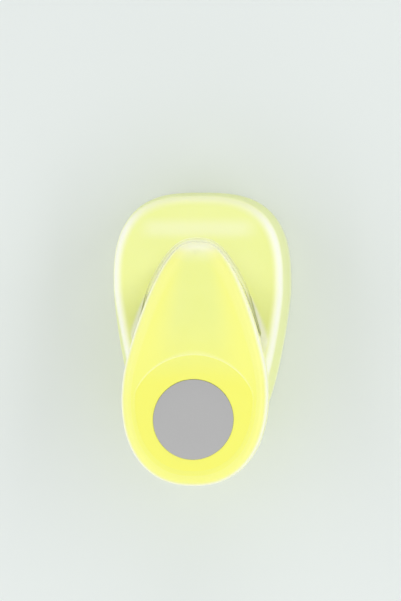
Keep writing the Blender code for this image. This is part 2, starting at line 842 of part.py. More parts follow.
def pivot_pin():
    groove_low = bracket_outer_x + REST_GAP
    groove_high = groove_low + CLIP_THICKNESS + REST_GAP
    end = groove_high + PIN_TIP
    profile = [
        (0.0, end),
        (PIN_RADIUS, end),
        (PIN_RADIUS, groove_high),
        (PIN_GROOVE_RADIUS, groove_high),
        (PIN_GROOVE_RADIUS, groove_low),
        (PIN_RADIUS, groove_low),
    ]
    profile += [(radius, -height) for radius, height in reversed(profile)]
    mesh = moved(along_x(turned(profile, SMALL_SEGMENTS)), lever_axis)
    return add_object("pivot_pin", mesh, STEEL)


def pin_clip(name, side):
    low = bracket_outer_x + REST_GAP + REST_GAP / 2.0
    start = low if side > 0.0 else -low - CLIP_THICKNESS
    mesh = along_x(clip_ring(PIN_GROOVE_RADIUS))
    return add_object(name, moved(mesh, (start, pivot_y, pivot_z)), DARK_STEEL)


# Lever


def lever_top(y):
    """Height of the lever's top face, which rises from the nose to the thumb end."""
    return HOUSING_TOP + LEVER_PROUD + lever_slope * (nose_y - y)


def lever_rocker():
    """The lever's hidden part in YZ: hinge eye, neck and the cam that presses the yoke."""
    neck_high = pivot_z + eye_radius
    cam_rear_y = PUNCH_Y - LEVER_CAM_RADIUS
    inside = LEVER_WALL / 2.0
    points = []
    for step in range(SMALL_SEGMENTS // 2 + 1):
        turn = math.pi * (step / (SMALL_SEGMENTS // 2) - 0.5)
        points.append((pivot_y + eye_radius * math.cos(turn), pivot_z + eye_radius * math.sin(turn)))
    points.append((nose_y - LEVER_DRAFT - inside, neck_high))
    for step in range(EDGE_STEPS + 1):
        turn = math.pi / 2.0 * step / EDGE_STEPS
        y = nose_y - LEVER_DRAFT - LEVER_EDGE + (LEVER_EDGE - inside) * math.cos(turn)
        drop = LEVER_EDGE - (LEVER_EDGE - inside) * math.sin(turn)
        points.append((y, lever_top(y) - drop))
    points.append((cam_rear_y, lever_top(cam_rear_y) - inside))
    for step in range(EDGE_STEPS * 2 + 1):
        turn = math.pi * (1.0 + step / (EDGE_STEPS * 2))
        y = PUNCH_Y + LEVER_CAM_RADIUS * math.cos(turn)
        points.append((y, pivot_z + LEVER_CAM_RADIUS * (1.0 + math.sin(turn))))
    return points


def tilted_cylinder(radius, depth):
    """A round cutter square to the lever's top, sunk to a depth below it at the disc."""
    mesh = cylinder((0.0, 0.0), radius, -depth, LEVER_EDGE, LARGE_SEGMENTS)
    turn = Matrix.Rotation(-math.atan(lever_slope), 4, "X")
    bmesh.ops.transform(mesh, matrix=turn, verts=mesh.verts)
    return moved(mesh, (0.0, disc_y, lever_top(disc_y)))


def lever():
    mesh = shell(
        lever_outline,
        lever_top,
        lambda y: lever_top(y) - LEVER_SKIRT,
        LEVER_WALL,
        LEVER_DRAFT,
        LEVER_EDGE,
        lever_widest_y,
    )
    made = add_object("lever", mesh, LEMON, lever_axis)
    add(made, side_prism(lever_rocker(), -LEVER_NECK_HALF_WIDTH, LEVER_NECK_HALF_WIDTH))
    for _, side in sides():
        add(made, lever_rib(side))
    hole_reach = LEVER_NECK_HALF_WIDTH + CUT_OVERRUN
    eye = along_x(cylinder((0.0, 0.0), PIN_RADIUS + RUNNING_GAP, -hole_reach, hole_reach))
    cut(made, moved(eye, lever_axis))
    cut(made, tilted_cylinder(PAD_RADIUS, PAD_DEPTH))
    cut(made, tilted_cylinder(DISC_RADIUS + REST_GAP, PAD_DEPTH + REST_GAP + DISC_THICKNESS))
    return made


def lever_rib(side):
    """A stiffening rib under the lever's top, from the cam to the thumb end."""
    start_y = PUNCH_Y - LEVER_CAM_RADIUS + UNION_OVERLAP
    end_y = lever_rear_y + LEVER_EDGE + LEVER_WALL
    inside = LEVER_WALL / 2.0
    drop = LEVER_WALL + LEVER_RIB_HEIGHT
    points = [
        (start_y, lever_top(start_y) - inside),
        (end_y, lever_top(end_y) - inside),
        (end_y, lever_top(end_y) - drop),
        (start_y, lever_top(start_y) - drop),
    ]
    x_outer = LEVER_NECK_HALF_WIDTH
    x_low, x_high = sorted((side * (x_outer - LEVER_RIB_THICKNESS), side * x_outer))
    return side_prism(points, x_low + side * UNION_OVERLAP, x_high + side * UNION_OVERLAP)


def motif_disc():
    """The plain disc, let into the thumb pad flush with its face."""
    profile = [
        (0.0, 0.0),
        (DISC_RADIUS - DISC_EDGE, 0.0),
        (DISC_RADIUS, -DISC_EDGE),
        (DISC_RADIUS, -DISC_THICKNESS),
        (0.0, -DISC_THICKNESS),
    ]
    mesh = moved(turned(profile, LARGE_SEGMENTS), (0.0, 0.0, -PAD_DEPTH))
    turn = Matrix.Rotation(-math.atan(lever_slope), 4, "X")
    bmesh.ops.transform(mesh, matrix=turn, verts=mesh.verts)
    place = (0.0, disc_y, lever_top(disc_y))
    return add_object("motif_disc", moved(mesh, place), GREY, lever_axis)


# Housing


def housing_top(y):
    """Height of the cover: high over the punch, sloping down to a deck under the lever."""
    slope_front_y = front_y - HOUSING_SLOPE_FRONT_SETBACK
    deck_y = slope_front_y - HOUSING_SLOPE_LENGTH
    if y >= deck_y:
        share = min(1.0, (y - deck_y) / HOUSING_SLOPE_LENGTH)
        return HOUSING_DECK + (HOUSING_TOP - HOUSING_DECK) * share * share * (3.0 - 2.0 * share)
    share = (deck_y - y) / (deck_y - rear_y)
    return HOUSING_DECK + (HOUSING_REAR_TOP - HOUSING_DECK) * share


def housing_cover():
    mesh = shell(
        body_outline,
        housing_top,
        lambda y: housing_low,
        HOUSING_WALL,
        HOUSING_DRAFT,
        HOUSING_EDGE,
        widest_y,
    )
    made = add_object("housing_cover", mesh, PALE_LEMON)
    bore = SCREW_RADIUS + REST_GAP
    tip = guide_low + BOSS_SCREW_REACH
    for place in housing_screw_places():
        ceiling = housing_top(place[1]) - HOUSING_WALL + UNION_OVERLAP
        add(made, cylinder(place, bore + BOSS_WALL, housing_low, ceiling))
    opening = front_part(lever_outline(-OPENING_MARGIN), front_y - OPENING_REAR_SETBACK)
    cut(made, prism(opening, HOUSING_DECK - OPENING_DEPTH, HOUSING_TOP + CUT_OVERRUN))
    for place in housing_screw_places():
        cut(made, cylinder(place, bore, housing_low - CUT_OVERRUN, tip + REST_GAP, TINY_SEGMENTS))
    return made


def tray_screws():
    """Screws from below: four into the cover's bosses and four into the die plate."""
    low = REST_GAP
    high = low + SCREW_HEAD_HEIGHT
    cover_tip = guide_low + BOSS_SCREW_REACH
    for number, place in enumerate(housing_screw_places(), 1):
        screw(f"housing_screw_{number}", place, low, high, cover_tip)
    die_tip = TRAY_HEIGHT - DIE_SCREW_COVER
    for number, place in enumerate(die_screw_places(), 1):
        screw(f"die_screw_{number}", place, low, high, die_tip)


def main():
    clear_scene()
    base_tray()
    die_plate()
    throat_spacer()
    guide_plate()
    for number, place in enumerate(rivet_places(), 1):
        rivet(f"die_rivet_{number}", place)
    tray_screws()
    punch_cutter()
    punch_yoke()
    yoke_screws()
    for word, side in sides():
        guide_post(f"guide_post_{word}", side)
        return_spring(f"return_spring_{word}", side)
        post_clip(f"post_clip_{word}", side)
        hinge_bracket(f"hinge_bracket_{word}", side)
        pin_clip(f"pin_clip_{word}", side)
    bracket_screws()
    pivot_pin()
    lever()
    motif_disc()
    housing_cover()


main()
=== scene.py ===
"""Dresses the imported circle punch: moulded case and lever, steel works inside, plain studio."""

import math

import bmesh
import bpy
from bpy.props import FloatProperty, FloatVectorProperty, IntProperty, PointerProperty
from mathutils import Matrix, Vector


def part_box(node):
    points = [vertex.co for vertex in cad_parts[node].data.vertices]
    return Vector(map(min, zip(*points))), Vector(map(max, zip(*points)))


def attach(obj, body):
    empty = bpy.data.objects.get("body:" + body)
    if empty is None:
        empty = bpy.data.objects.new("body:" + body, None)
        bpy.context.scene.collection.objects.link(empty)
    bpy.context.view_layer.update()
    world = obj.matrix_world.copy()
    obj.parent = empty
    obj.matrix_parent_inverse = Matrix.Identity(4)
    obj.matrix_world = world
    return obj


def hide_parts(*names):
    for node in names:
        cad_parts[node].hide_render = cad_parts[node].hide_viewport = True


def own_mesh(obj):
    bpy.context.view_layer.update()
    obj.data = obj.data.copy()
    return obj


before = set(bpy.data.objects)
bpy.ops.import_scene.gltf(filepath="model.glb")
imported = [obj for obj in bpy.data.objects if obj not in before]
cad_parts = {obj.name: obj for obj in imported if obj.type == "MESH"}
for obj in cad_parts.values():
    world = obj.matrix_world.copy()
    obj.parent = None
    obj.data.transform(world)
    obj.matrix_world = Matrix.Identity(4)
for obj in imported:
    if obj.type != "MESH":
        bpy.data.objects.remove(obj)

bl_info = {
    "name": "Circle punch looks",
    "version": (1, 0, 0),
    "blender": (4, 5, 0),
    "location": "3D View > Sidebar > Punch",
    "description": "Models and finishes the visible pieces of a circle punch round its packed frame",
    "category": "Object",
}

# Lengths are in metres. A fade is given by its start and its end, which may run either way.
FIT_GAP = 0.0003
CUT_OVERRUN = 0.002
UNION_OVERLAP = 0.0006
MERGE_DISTANCE = 0.000001
# Share of a rounding's radius that is gone at its middle
ROUND_MIDDLE = 0.3

# Punch and body outline
PUNCH_RADIUS = 0.025
PUNCH_Y = 0.0258
BODY_HALF_WIDTH = 0.0396
BODY_FRONT_Y = 0.0633
BODY_WIDEST_Y = 0.020
BODY_REAR_REACH = 0.069
BODY_FRONT_POWER = 2.9
BODY_REAR_POWER = 5.0
BODY_TAPER_SHARE = 0.31
BODY_TAPER_POWER = 1.3

# Cover
COVER_TOP = 0.036
COVER_DECK = 0.0255
COVER_REAR_TOP = 0.0225
COVER_WALL = 0.0022
COVER_DRAFT = 0.0025
COVER_SLOPE_FRONT_Y = 0.034
COVER_DECK_Y = -0.012
COVER_LOW = 0.0089
COVER_FOOT = 0.0004
COVER_CROWN_RUN = (0.0, 0.03)
OPENING_REAR_Y = 0.0
OPENING_CENTRE_Y = 0.014
OPENING_CORNER = 0.0009
# Spokes that point further back than this meet the opening's straight rear end
REARWARD = -0.05
STEP_ROUND = 0.00006
# Share of the ledge's width that is lost toward the rear, and where it comes back
LEDGE_LOSS = 0.6
LEDGE_RUN = (0.004, 0.020)
WALL_STEPS = 4
BOSS_RADIUS = 0.0032
BOSS_BORE = 0.0016
BOSS_TIP = 0.0144

# Cover tints: painted highlights on the shoulder, the lip and beside the lever, a painted reflection before
# the nose, a little painted light on the wall and its foot, painted shade down the wall
SHOULDER_TINT, SHOULDER_FOOT_TINT = 0.88, 0.12
LIP_TINT, WALL_TINT, COVER_FOOT_TINT, WALL_SHADE = 0.5, 0.15, 0.4, 0.4
FRONT_LOSS, FRONT_EASES = 0.55, (0.045, 0.059)
BROW_TINT, BROW_STARTS, BROW_ENDS, BROW_SIDE = 0.28, (0.0405, 0.0455), (0.0520, 0.0470), (0.028, 0.018)
BESIDE_TINT, BESIDE_STARTS = 0.85, (-0.004, -0.001)
BESIDE_FRONT, BESIDE_REAR = (0.036, 0.026), (-0.014, -0.002)
BESIDE_NARROW, BESIDE_SPREAD, BESIDE_WIDENS = 0.0006, 0.0034, (0.036, 0.0)

# Tray
TRAY_HEIGHT = 0.007
TRAY_RIM = 0.0086
TRAY_FLOOR = 0.002
TRAY_WALL = 0.0024
TRAY_LIP = 0.0003
# Painted highlights on the tray's rounded edges and its groove
TRAY_TINT, GROOVE_TINT = 0.4, 0.15
SLOT_REAR_Y = -0.0035
SLOT_STEP = 0.0006
CHAD_RADIUS = 0.0263
CHAD_EDGE = 0.0004
SEAT_RADIUS = 0.0288
SEAT_HIGH = 0.0037
GROOVE_IN, GROOVE_OUT = 0.0052, 0.0042
GROOVE_DEPTH, GROOVE_SLOPE = 0.0003, 0.0002
RECESS_RADIUS = 0.0027
RECESS_DEPTH = 0.0019
RECESS_WALL = 0.0011
RECESS_RIM = 0.0003

# Lever outline and shell
NOSE_Y = 0.0411
LEVER_WIDEST_Y = -0.024
LEVER_REAR_REACH = 0.0393
LEVER_HALF_WIDTH = 0.0316
LEVER_NOSE_POWER = 2.7
LEVER_REAR_POWER = 2.3
LEVER_TAPER_SHARE = 0.44
LEVER_TAPER_START_SHARE = 0.10
LEVER_TAPER_SOFT_SHARE = 0.05
LEVER_WALL = 0.003
LEVER_SKIRT = 0.010
LEVER_FOOT = 0.0007
LEVER_DRAFT = 0.0004
LEVER_PROUD = 0.00329
LEVER_SLOPE = 0.0044 / 0.0242
SKIRT_BEND = (LEVER_SKIRT * 0.7, LEVER_DRAFT * 0.4)
DRAW_BACK, DRAW_BACK_RATE = 0.0002, 0.05
DISC_Y = -0.0349
DISC_RADIUS = 0.017
DISC_THICKNESS = 0.001
DISC_EDGE = 0.0002
SEAT_LIP = 0.00012
PAD_MARGIN, PAD_SOFTNESS = 0.0012, 0.0005
PAD_RISE, PAD_BRIM = 0.0006, 0.0001
PAD_FLOOR_RINGS, PAD_RISE_RINGS = 6, 4
CROWN_STARTS = (0.022, 0.046)

# Lever tints: painted highlights on the pad's brim, the crest, the rounded edge and the nose, painted light
# on the skirt, inside and along the flanks, deeper colour in the pad and painted shade toward the thumb end
PAD_BRIM_TINT = 0.28
FACE_TINT, FACE_PALES = 0.08, (0.9, 1.0)
EDGE_TINT, EDGE_PALES = 0.8, (0.42, 0.78)
SKIRT_TINT, INSIDE_TINT = 0.4, 0.2
PAD_DEEPENS = (-0.008, -0.022)
THUMB_END_SHADE, LEVER_DEEPENS = 0.75, (0.015, -0.03)
FLANK_TINT, FLANK_STARTS = 0.8, (0.25, 0.75)
FLANK_LOSS, FLANK_EASES, PAD_FLANK_LOSS = 0.6, (-0.005, -0.03), 0.9
PAD_PALES = (0.008, 0.022)
NOSE_TINT, NOSE_PALES = 0.3, (0.011, 0.004)
TIP_TINT, TIP_PALES = 0.5, (0.006, 0.002)

# Lever works
NECK_HALF_WIDTH = 0.0055
NECK_EDGE = 0.0045
NECK_BEVEL = 0.0004
RIB_THICKNESS = 0.002
RIB_HEIGHT = 0.0035
RIB_BEVEL = 0.0003
RIB_STEPS = 12
CAM_RADIUS = 0.004
EYE_RADIUS = 0.0045
PIN_BORE = 0.0023
PIVOT_Y = 0.050
PIVOT_Z = 0.027

# Turned and stamped pieces
RIVET_HOLE = 0.0018
PLATE_EDGE = 0.0002
PLATE_BEVEL = 0.0001
DRILL_HIGH = 0.05
CUTTER_WALL, CUTTER_TOP, CUTTER_EDGE = 0.0025, 0.003, 0.0003
CUTTER_LAND, CUTTER_GRIND, CUTTER_RELIEF = 0.0005, 0.0006, 0.0002
PIN_RADIUS = 0.002
POST_RADIUS = 0.0018
POST_SPIGOT = 0.0013
TURNED_EDGE = 0.0002
FACE_SHARE = 0.3
CLIP_THICKNESS = 0.0008
CLIP_WIDTH = 0.0016
CLIP_MOUTH = math.radians(80.0)
CLIP_BEVEL = 0.00012
GROOVE_RADIUS = {"post": 0.0013, "pin": 0.0015}
WIRE_RADIUS = 0.00035
COIL_TURNS = 5
RIVET_RADIUS, RIVET_RISE = 0.0015, 0.0012
SCREW_RADIUS = 0.0013
HEAD_RADIUS, HEAD_HEIGHT = 0.0024, 0.0013
# Shares of a screw head's radius and height, from its face to its seat
HEAD_DOME = ((0.3, 0.0), (0.62, 0.03), (0.86, 0.18), (0.97, 0.45), (1.0, 0.85), (0.98, 1.0))
THREAD_PITCH, THREAD_ROOT, THREAD_START, THREAD_END = 0.0006, 0.8, 0.0002, 0.0009
TIP_LENGTH, TIP_SHARE = 0.0007, 0.35
CROSS_WIDTH, CROSS_REACH, CROSS_DEPTH, CROSS_TAPER = 0.0005, 0.0013, 0.0008, 0.7

# Resolution
RING_POINTS = 192
OUTLINE_SAMPLES = 480
TURNED_POINTS = 48
BORE_POINTS = 24
SMALL_POINTS = 32
DISC_POINTS = 96
CUTTER_POINTS = 144
CLIP_STEPS = 36
FACE_STEPS = 22
UNDERSIDE_STEPS = 10
LEVER_EDGE_STEPS = 8
COVER_EDGE_STEPS = 9
ROUND_STEPS = 4
SHARP_ANGLE = math.radians(35.0)
QUARTER = math.pi / 2.0

# Roughness of the moulded plastics
CASE_ROUGHNESS, LEVER_ROUGHNESS = 0.34, 0.33

# Studio
FLOOR_SIZE, FLOOR_Z = 4.0, -0.0002
CAMERA_AIM_X = -0.0013
LAMP_AIM = Vector((0.0, 0.0, 0.02))
LAMPS = {
    "key": ((-0.62, -0.04, 0.40), (1.2, 0.5)),
    "fill": ((0.58, -0.04, 0.48), (1.2, 0.3)),
    "far": ((0.05, 0.65, 0.45), (0.5, 0.5)),
    "near": ((-0.05, -0.65, 0.35), (0.8, 0.4)),
}


def length(name, description, default):
    return FloatProperty(
        name=name, description=description, default=default, min=0.0,
        unit="LENGTH", subtype="DISTANCE", precision=5,
    )


def strength(name, description, default):
    return FloatProperty(name=name, description=description, default=default, min=0.0)


def colour(name, description, *steps):
    """A colour property that starts at a screen colour given in steps of 0 to 255."""
    shares = [step / 255.0 for step in steps]
    default = [s / 12.92 if s <= 0.04045 else ((s + 0.055) / 1.055) ** 2.4 for s in shares]
    return FloatVectorProperty(
        name=name, description=description, default=default, min=0.0, max=1.0, size=3, subtype="COLOR"
    )


class PunchSizes(bpy.types.PropertyGroup):
    """Sizes of the moulded shapes that a maker would tune."""

    cover_edge: length("Cover edge", "Radius of the cover's shoulder", 0.005)
    cover_crown: length("Cover crown", "Rise of the cover's high part above a flat top", 0.0008)
    cover_lip: length("Opening lip", "Rounding of the edge round the lever's opening", 0.0005)
    opening_gap: length("Opening gap", "Gap round the lever in the cover", 0.00005)
    cover_step: length("Opening step", "Width of the ledge round the lever's opening", 0.0014)
    cover_step_depth: length("Step depth", "Depth of that ledge below the cover's face", 0.0006)
    lever_edge: length("Lever edge", "Radius of the lever's upper edge", 0.0045)
    lever_crown: length("Lever crown", "Rise of the lever's neck above a flat top", 0.0009)
    pad_radius: length("Pad radius", "Radius of the shallow thumb pad", 0.0278)
    pad_depth: length("Pad depth", "Depth of the thumb pad below the lever's top", 0.0004)
    disc_fit: length("Disc fit", "Gap round the disc in its seat", 0.00006)
    foot_edge: length("Base edge", "Rounding of the tray's lower edge", 0.0008)
    metal_edge: length("Metal edge", "Broken edge of stamped steel pieces", 0.00025)
    coil_points: IntProperty(
        name="Coil points", description="Points in each turn of a spring", default=28, min=8
    )


class PunchColours(bpy.types.PropertyGroup):
    """Colours of the finishes."""

    lever: colour("Lever", "Plastic of the lever", 240, 247, 148)
    # Painted highlight: near-white colour laid on the lever's rounded edge, crest, nose and pad brim, and
    # painted light on its skirt and inside
    lever_highlight: colour("Lever rim", "Paler plastic at the lever's thin edges", 255, 255, 236)
    # Painted light: brighter, stronger yellow laid along the lever's flanks, where its crowned neck turns
    # toward the lamps
    lever_lit_flank: colour("Lever flank", "Plastic along the lever's flanks", 253, 254, 132)
    # Deeper yellow of the thumb pad; also laid toward the thumb end as painted shade
    pad: colour("Thumb pad", "Plastic inside the thumb pad", 249, 249, 112)
    case: colour("Case", "Plastic of cover and tray", 240, 247, 157)
    # Painted highlight: near-white colour laid on the case's shoulder, beside the lever, before its nose and
    # on the tray's edges, and painted light in the slit round the lever
    case_highlight: colour("Case rim", "Paler plastic at the case's shoulder", 254, 255, 240)
    # Painted shade: deeper olive laid down the cover's wall, where it faces away from the light
    wall: colour("Case wall", "Thicker, deeper plastic of the cover's wall", 218, 231, 132)
    disc: colour("Disc", "Insert that shows the cut shape", 178, 178, 178)
    ground: colour("Ground steel", "Die, guide plate and cutter", 196, 198, 201)
    black: colour("Blackened steel", "Yoke, brackets and spacer", 70, 71, 74)
    turned: colour("Turned steel", "Pin, posts and rivets", 205, 206, 208)
    spring: colour("Spring steel", "Springs and clips", 150, 150, 152)
    zinc: colour("Zinc", "Plated screws", 212, 214, 208)
    floor: colour("Floor", "Studio floor", 226, 232, 230)


class StudioSettings(bpy.types.PropertyGroup):
    """Camera and lamps of the plain studio."""

    lens: FloatProperty(
        name="Lens", description="Focal length on a 36 mm high sensor", default=106.5, min=10.0
    )
    camera_x: length("Camera shift", "Camera's offset to the right of the object", 0.0597)
    camera_height: length("Camera height", "Camera's height above the floor", 0.8)
    aim_y: length("Aim", "Place along the object that the camera looks at", 0.0152)
    roll: FloatProperty(
        name="Roll", description="Camera's turn about its line of sight", default=0.0075, subtype="ANGLE"
    )
    key_power: strength("Key lamp", "Power of the large lamp on the left, in watts", 2.3)
    fill_power: strength("Fill lamp", "Power of the lamp on the right, in watts", 2.4)
    far_power: strength("Far lamp", "Power of the lamp beyond the wide end, in watts", 0.75)
    near_power: strength("Near lamp", "Power of the lamp beyond the thumb end, in watts", 0.8)
    world_strength: strength("Room light", "Strength of the even light of the room", 0.58)


# Outlines


def tip_share(along, power):
    """Share of the width that is left at a share of the reach, on a rounded end."""
    return max(0.0, 1.0 - along**power) ** (1.0 / power)


def even_width(along):
    return 1.0


def body_rear_width(along):
    return 1.0 - BODY_TAPER_SHARE * along**BODY_TAPER_POWER


def lever_front_width(along):
    """Constant at first, then a straight taper toward the nose, with a soft change."""
    past = (along - LEVER_TAPER_START_SHARE) / LEVER_TAPER_SOFT_SHARE
    return 1.0 - LEVER_TAPER_SHARE * LEVER_TAPER_SOFT_SHARE * math.log(1.0 + math.exp(past))


def half_end(start_y, reach, half_width, width_rule, power, inset):
    """Points from the widest place to the tip of one end, on the +X side."""
    sign = math.copysign(1.0, reach)
    depth = abs(reach) - inset
    points = []
    for step in range(OUTLINE_SAMPLES + 1):
        along = 1.0 - (1.0 - step / OUTLINE_SAMPLES) ** 3
        width = half_width * width_rule(along) - inset
        points.append((max(0.0, width) * tip_share(along, power), start_y + sign * along * depth))
    return points


def even_points(points, count):
    """The same line with evenly spaced points, the ends kept."""
    lengths = [0.0]
    for first, second in zip(points, points[1:]):
        lengths.append(lengths[-1] + math.dist(first, second))
    spaced = []
    place = 0
    for step in range(count + 1):
        target = lengths[-1] * step / count
        while place < len(points) - 2 and lengths[place + 1] < target:
            place += 1
        span = lengths[place + 1] - lengths[place]
        share = (target - lengths[place]) / span if span else 0.0
        spaced.append(tuple(a + (b - a) * share for a, b in zip(points[place], points[place + 1])))
    return spaced


def closed_outline(front, rear):
    """A closed outline from its two ends, mirrored to the -X side."""
    half = even_points(front[::-1] + rear[1:], RING_POINTS // 2)
    return half + [(-x, y) for x, y in half[-2:0:-1]]


def body_outline(inset=0.0):
    widest, width = BODY_WIDEST_Y, BODY_HALF_WIDTH
    front = half_end(widest, BODY_FRONT_Y - widest, width, even_width, BODY_FRONT_POWER, inset)
    rear = half_end(widest, -BODY_REAR_REACH, width, body_rear_width, BODY_REAR_POWER, inset)
    return closed_outline(front, rear)


def lever_outline(inset=0.0):
    widest, width = LEVER_WIDEST_Y, LEVER_HALF_WIDTH
    front = half_end(widest, NOSE_Y - widest, width, lever_front_width, LEVER_NOSE_POWER, inset)
    rear = half_end(widest, -LEVER_REAR_REACH, width, even_width, LEVER_REAR_POWER, inset)
    return closed_outline(front, rear)


def width_of(outline, y):
    """Half width of an outline at a given Y, taken on its +X side."""
    half = outline[: RING_POINTS // 2 + 1]
    for first, second in zip(half, half[1:]):
        if second[1] <= y <= first[1]:
            span = first[1] - second[1]
            share = (first[1] - y) / span if span else 0.0
            return first[0] + (second[0] - first[0]) * share
    return 0.0


def share_across(outline, x, y):
    """How far out a place lies in an outline: 0 on the middle line, 1 at the side."""
    return min(1.0, abs(x) / max(0.001, width_of(outline, y)))


def arc(centre, radius, start, end, steps):
    """Points of an arc between two angles, both ends included."""
    turns = [start + (end - start) * step / steps for step in range(steps + 1)]
    return [(centre[0] + radius * math.cos(t), centre[1] + radius * math.sin(t)) for t in turns]


def circle(radius, centre=(0.0, 0.0), count=TURNED_POINTS):
    return arc(centre, radius, 0.0, 2.0 * math.pi, count)[:-1]


def quarter_round(steps):
    """Pairs of shares along a quarter round: one grows from 0 to 1 as the other falls from 1 to 0."""
    turns = [QUARTER * step / steps for step in range(steps + 1)]
    return [(1.0 - math.cos(turn), 1.0 - math.sin(turn)) for turn in turns]


def soft_least(first, second, softness):
    """The lesser of two lengths, with the change between them rounded."""
    gap = abs(first - second) / softness
    return min(first, second) - softness * math.log(1.0 + math.exp(-gap))


def smooth_share(value, low, high):
    """0 at the first end and 1 at the second, with a soft change; the ends may run either way."""
    share = min(1.0, max(0.0, (value - low) / (high - low)))
    return share * share * (3.0 - 2.0 * share)


def faded(amount, *fades):
    """An amount times the smooth share of each value between its two ends."""
    for value, ends in fades:
        amount *= smooth_share(value, *ends)
    return amount


def reach_along(direction, centre, outline):
    """Distance from a centre to a closed outline along a direction."""
    best = 0.0
    for (ax, ay), (bx, by) in zip(outline, outline[1:] + outline[:1]):
        ex, ey = bx - ax, by - ay
        cross = direction[0] * ey - direction[1] * ex
        if abs(cross) < 1e-12:
            continue
        rx, ry = ax - centre[0], ay - centre[1]
        distance = (rx * ey - ry * ex) / cross
        share = (rx * direction[1] - ry * direction[0]) / cross
        if distance > 0.0 and -1e-9 <= share <= 1.0 + 1e-9:
            best = max(best, distance)
    return best


def spokes(outline, centre):
    """Direction and distance from a centre to each point of an outline."""
    found = []
    for x, y in outline:
        reach = math.dist((x, y), centre)
        found.append((((x - centre[0]) / reach, (y - centre[1]) / reach), reach))
    return found


class Rings:
    """Rings of points for a loft, each with its tints, and marks at the rings where a part starts."""

    def __init__(self):
        self.points, self.paleness, self.depth, self.marks = [], [], [], {}

    def add(self, points, paleness=0.0, depth=0.0):
        self.points.append(points)
        self.paleness.append(paleness)
        self.depth.append(depth)

    def along(self, outline, height_rule, paleness=0.0):
        """Add an outline at the height that a rule gives for each Y."""
        self.add([(x, y, height_rule(y)) for x, y in outline], paleness)

    def mark(self, name):
        self.marks[name] = len(self.points)


def rounded_end(wall, lip):
    """Inset and distance from the very end, of rings round a wall's end from outside to inside."""
    middle = lip * ROUND_MIDDLE
    return [(0.0, lip), (middle, middle), (lip, 0.0), (wall - lip, 0.0), (wall, lip)]


# Mesh work


def nothing_selected():
    """Back to object mode with nothing selected."""
    if bpy.context.object and bpy.context.object.mode != "OBJECT":
        bpy.ops.object.mode_set(mode="OBJECT")
    bpy.ops.object.select_all(action="DESELECT")


def only(piece):
    """Make one piece the active and only selected one."""
    nothing_selected()
    piece.select_set(True)
    bpy.context.view_layer.objects.active = piece


def settle_loop(piece, loop, points):
    """Move a loop of vertices, given by their numbers, to its points."""
    mesh = bmesh.from_edit_mesh(piece.data)
    mesh.verts.ensure_lookup_table()
    for number, point in zip(loop, points):
        mesh.verts[number].co = point
    bmesh.update_edit_mesh(piece.data)


def extruded_loop(piece, loop):
    """Extrude the selected loop; gives the new vertices' numbers in the old loop's order."""
    bpy.ops.mesh.extrude_region_move()
    mesh = bmesh.from_edit_mesh(piece.data)
    mesh.verts.index_update()
    mesh.verts.ensure_lookup_table()
    made = []
    for number in loop:
        vert = mesh.verts[number]
        made.append(next(e.other_vert(vert).index for e in vert.link_edges if e.other_vert(vert).select))
    return made


def select_first_loop(piece, count):
    """Select the vertices of the loop that a loft began with."""
    bpy.ops.mesh.select_all(action="DESELECT")
    mesh = bmesh.from_edit_mesh(piece.data)
    mesh.verts.ensure_lookup_table()
    for number in range(count):
        mesh.verts[number].select = True
    mesh.select_flush(True)
    bmesh.update_edit_mesh(piece.data)


def vertex_fields(piece, *names):
    """The values at each vertex under each name, which are made where they are missing."""
    fields = piece.data.attributes
    for name in names:
        if name not in fields:
            fields.new(name, "FLOAT", "POINT")
    return [fields[name].data for name in names]


def loft(name, rings, tints=None, joined=False):
    """Extrude a circle loop by loop, settle each loop on its ring, then cap or join the ends."""
    nothing_selected()
    count = len(rings[0])
    bpy.ops.mesh.primitive_circle_add(vertices=count, radius=1.0)
    piece = bpy.context.active_object
    piece.name = piece.data.name = name
    bpy.ops.object.mode_set(mode="EDIT")
    bpy.ops.mesh.select_all(action="SELECT")
    loop = list(range(count))
    settle_loop(piece, loop, rings[0])
    for points in rings[1:]:
        loop = extruded_loop(piece, loop)
        settle_loop(piece, loop, points)
    if not joined:
        bpy.ops.mesh.edge_face_add()
        select_first_loop(piece, count)
        bpy.ops.mesh.edge_face_add()
    bpy.ops.object.mode_set(mode="OBJECT")
    if tints:
        (paleness,) = vertex_fields(piece, "paleness")
        for number, value in enumerate(paleness):
            value.value = tints[number // count]
    bpy.ops.object.mode_set(mode="EDIT")
    bpy.ops.mesh.select_all(action="SELECT")
    if joined:
        bpy.ops.mesh.remove_doubles(threshold=MERGE_DISTANCE)
    bpy.ops.mesh.normals_make_consistent(inside=False)
    bpy.ops.object.mode_set(mode="OBJECT")
    return piece


def prism(name, outline, low, high, along_x=False):
    """A closed outline between two faces: drawn in XY and raised, or drawn in YZ and run along X."""
    return loft(name, [[(level, *p) if along_x else (*p, level) for p in outline] for level in (low, high)])


def turned(name, profile, centre=(0.0, 0.0), count=TURNED_POINTS):
    """A turned piece about a vertical axis; the profile runs from one end to the other."""
    return loft(name, [[(x, y, z) for x, y in circle(radius, centre, count)] for radius, z in profile])


def chamfered(profile):
    """A turning profile with each outer corner broken."""
    made = [profile[0]]
    for before, corner, after in zip(profile, profile[1:], profile[2:]):
        for other in (before, after):
            reach = math.dist(corner, other)
            share = min(TURNED_EDGE, reach / 3.0) / reach
            made.append(tuple(c + (o - c) * share for c, o in zip(corner, other)))
    made.append(profile[-1])
    return made


def bevel_edges(piece, width, segments=2, angle=SHARP_ANGLE):
    """Round every edge that is sharper than an angle, and apply it."""
    only(piece)
    tool = piece.modifiers.new("Edge", "BEVEL")
    tool.width = width
    tool.segments = segments
    tool.limit_method = "ANGLE"
    tool.angle_limit = angle
    bpy.ops.object.modifier_apply(modifier=tool.name)
    return piece


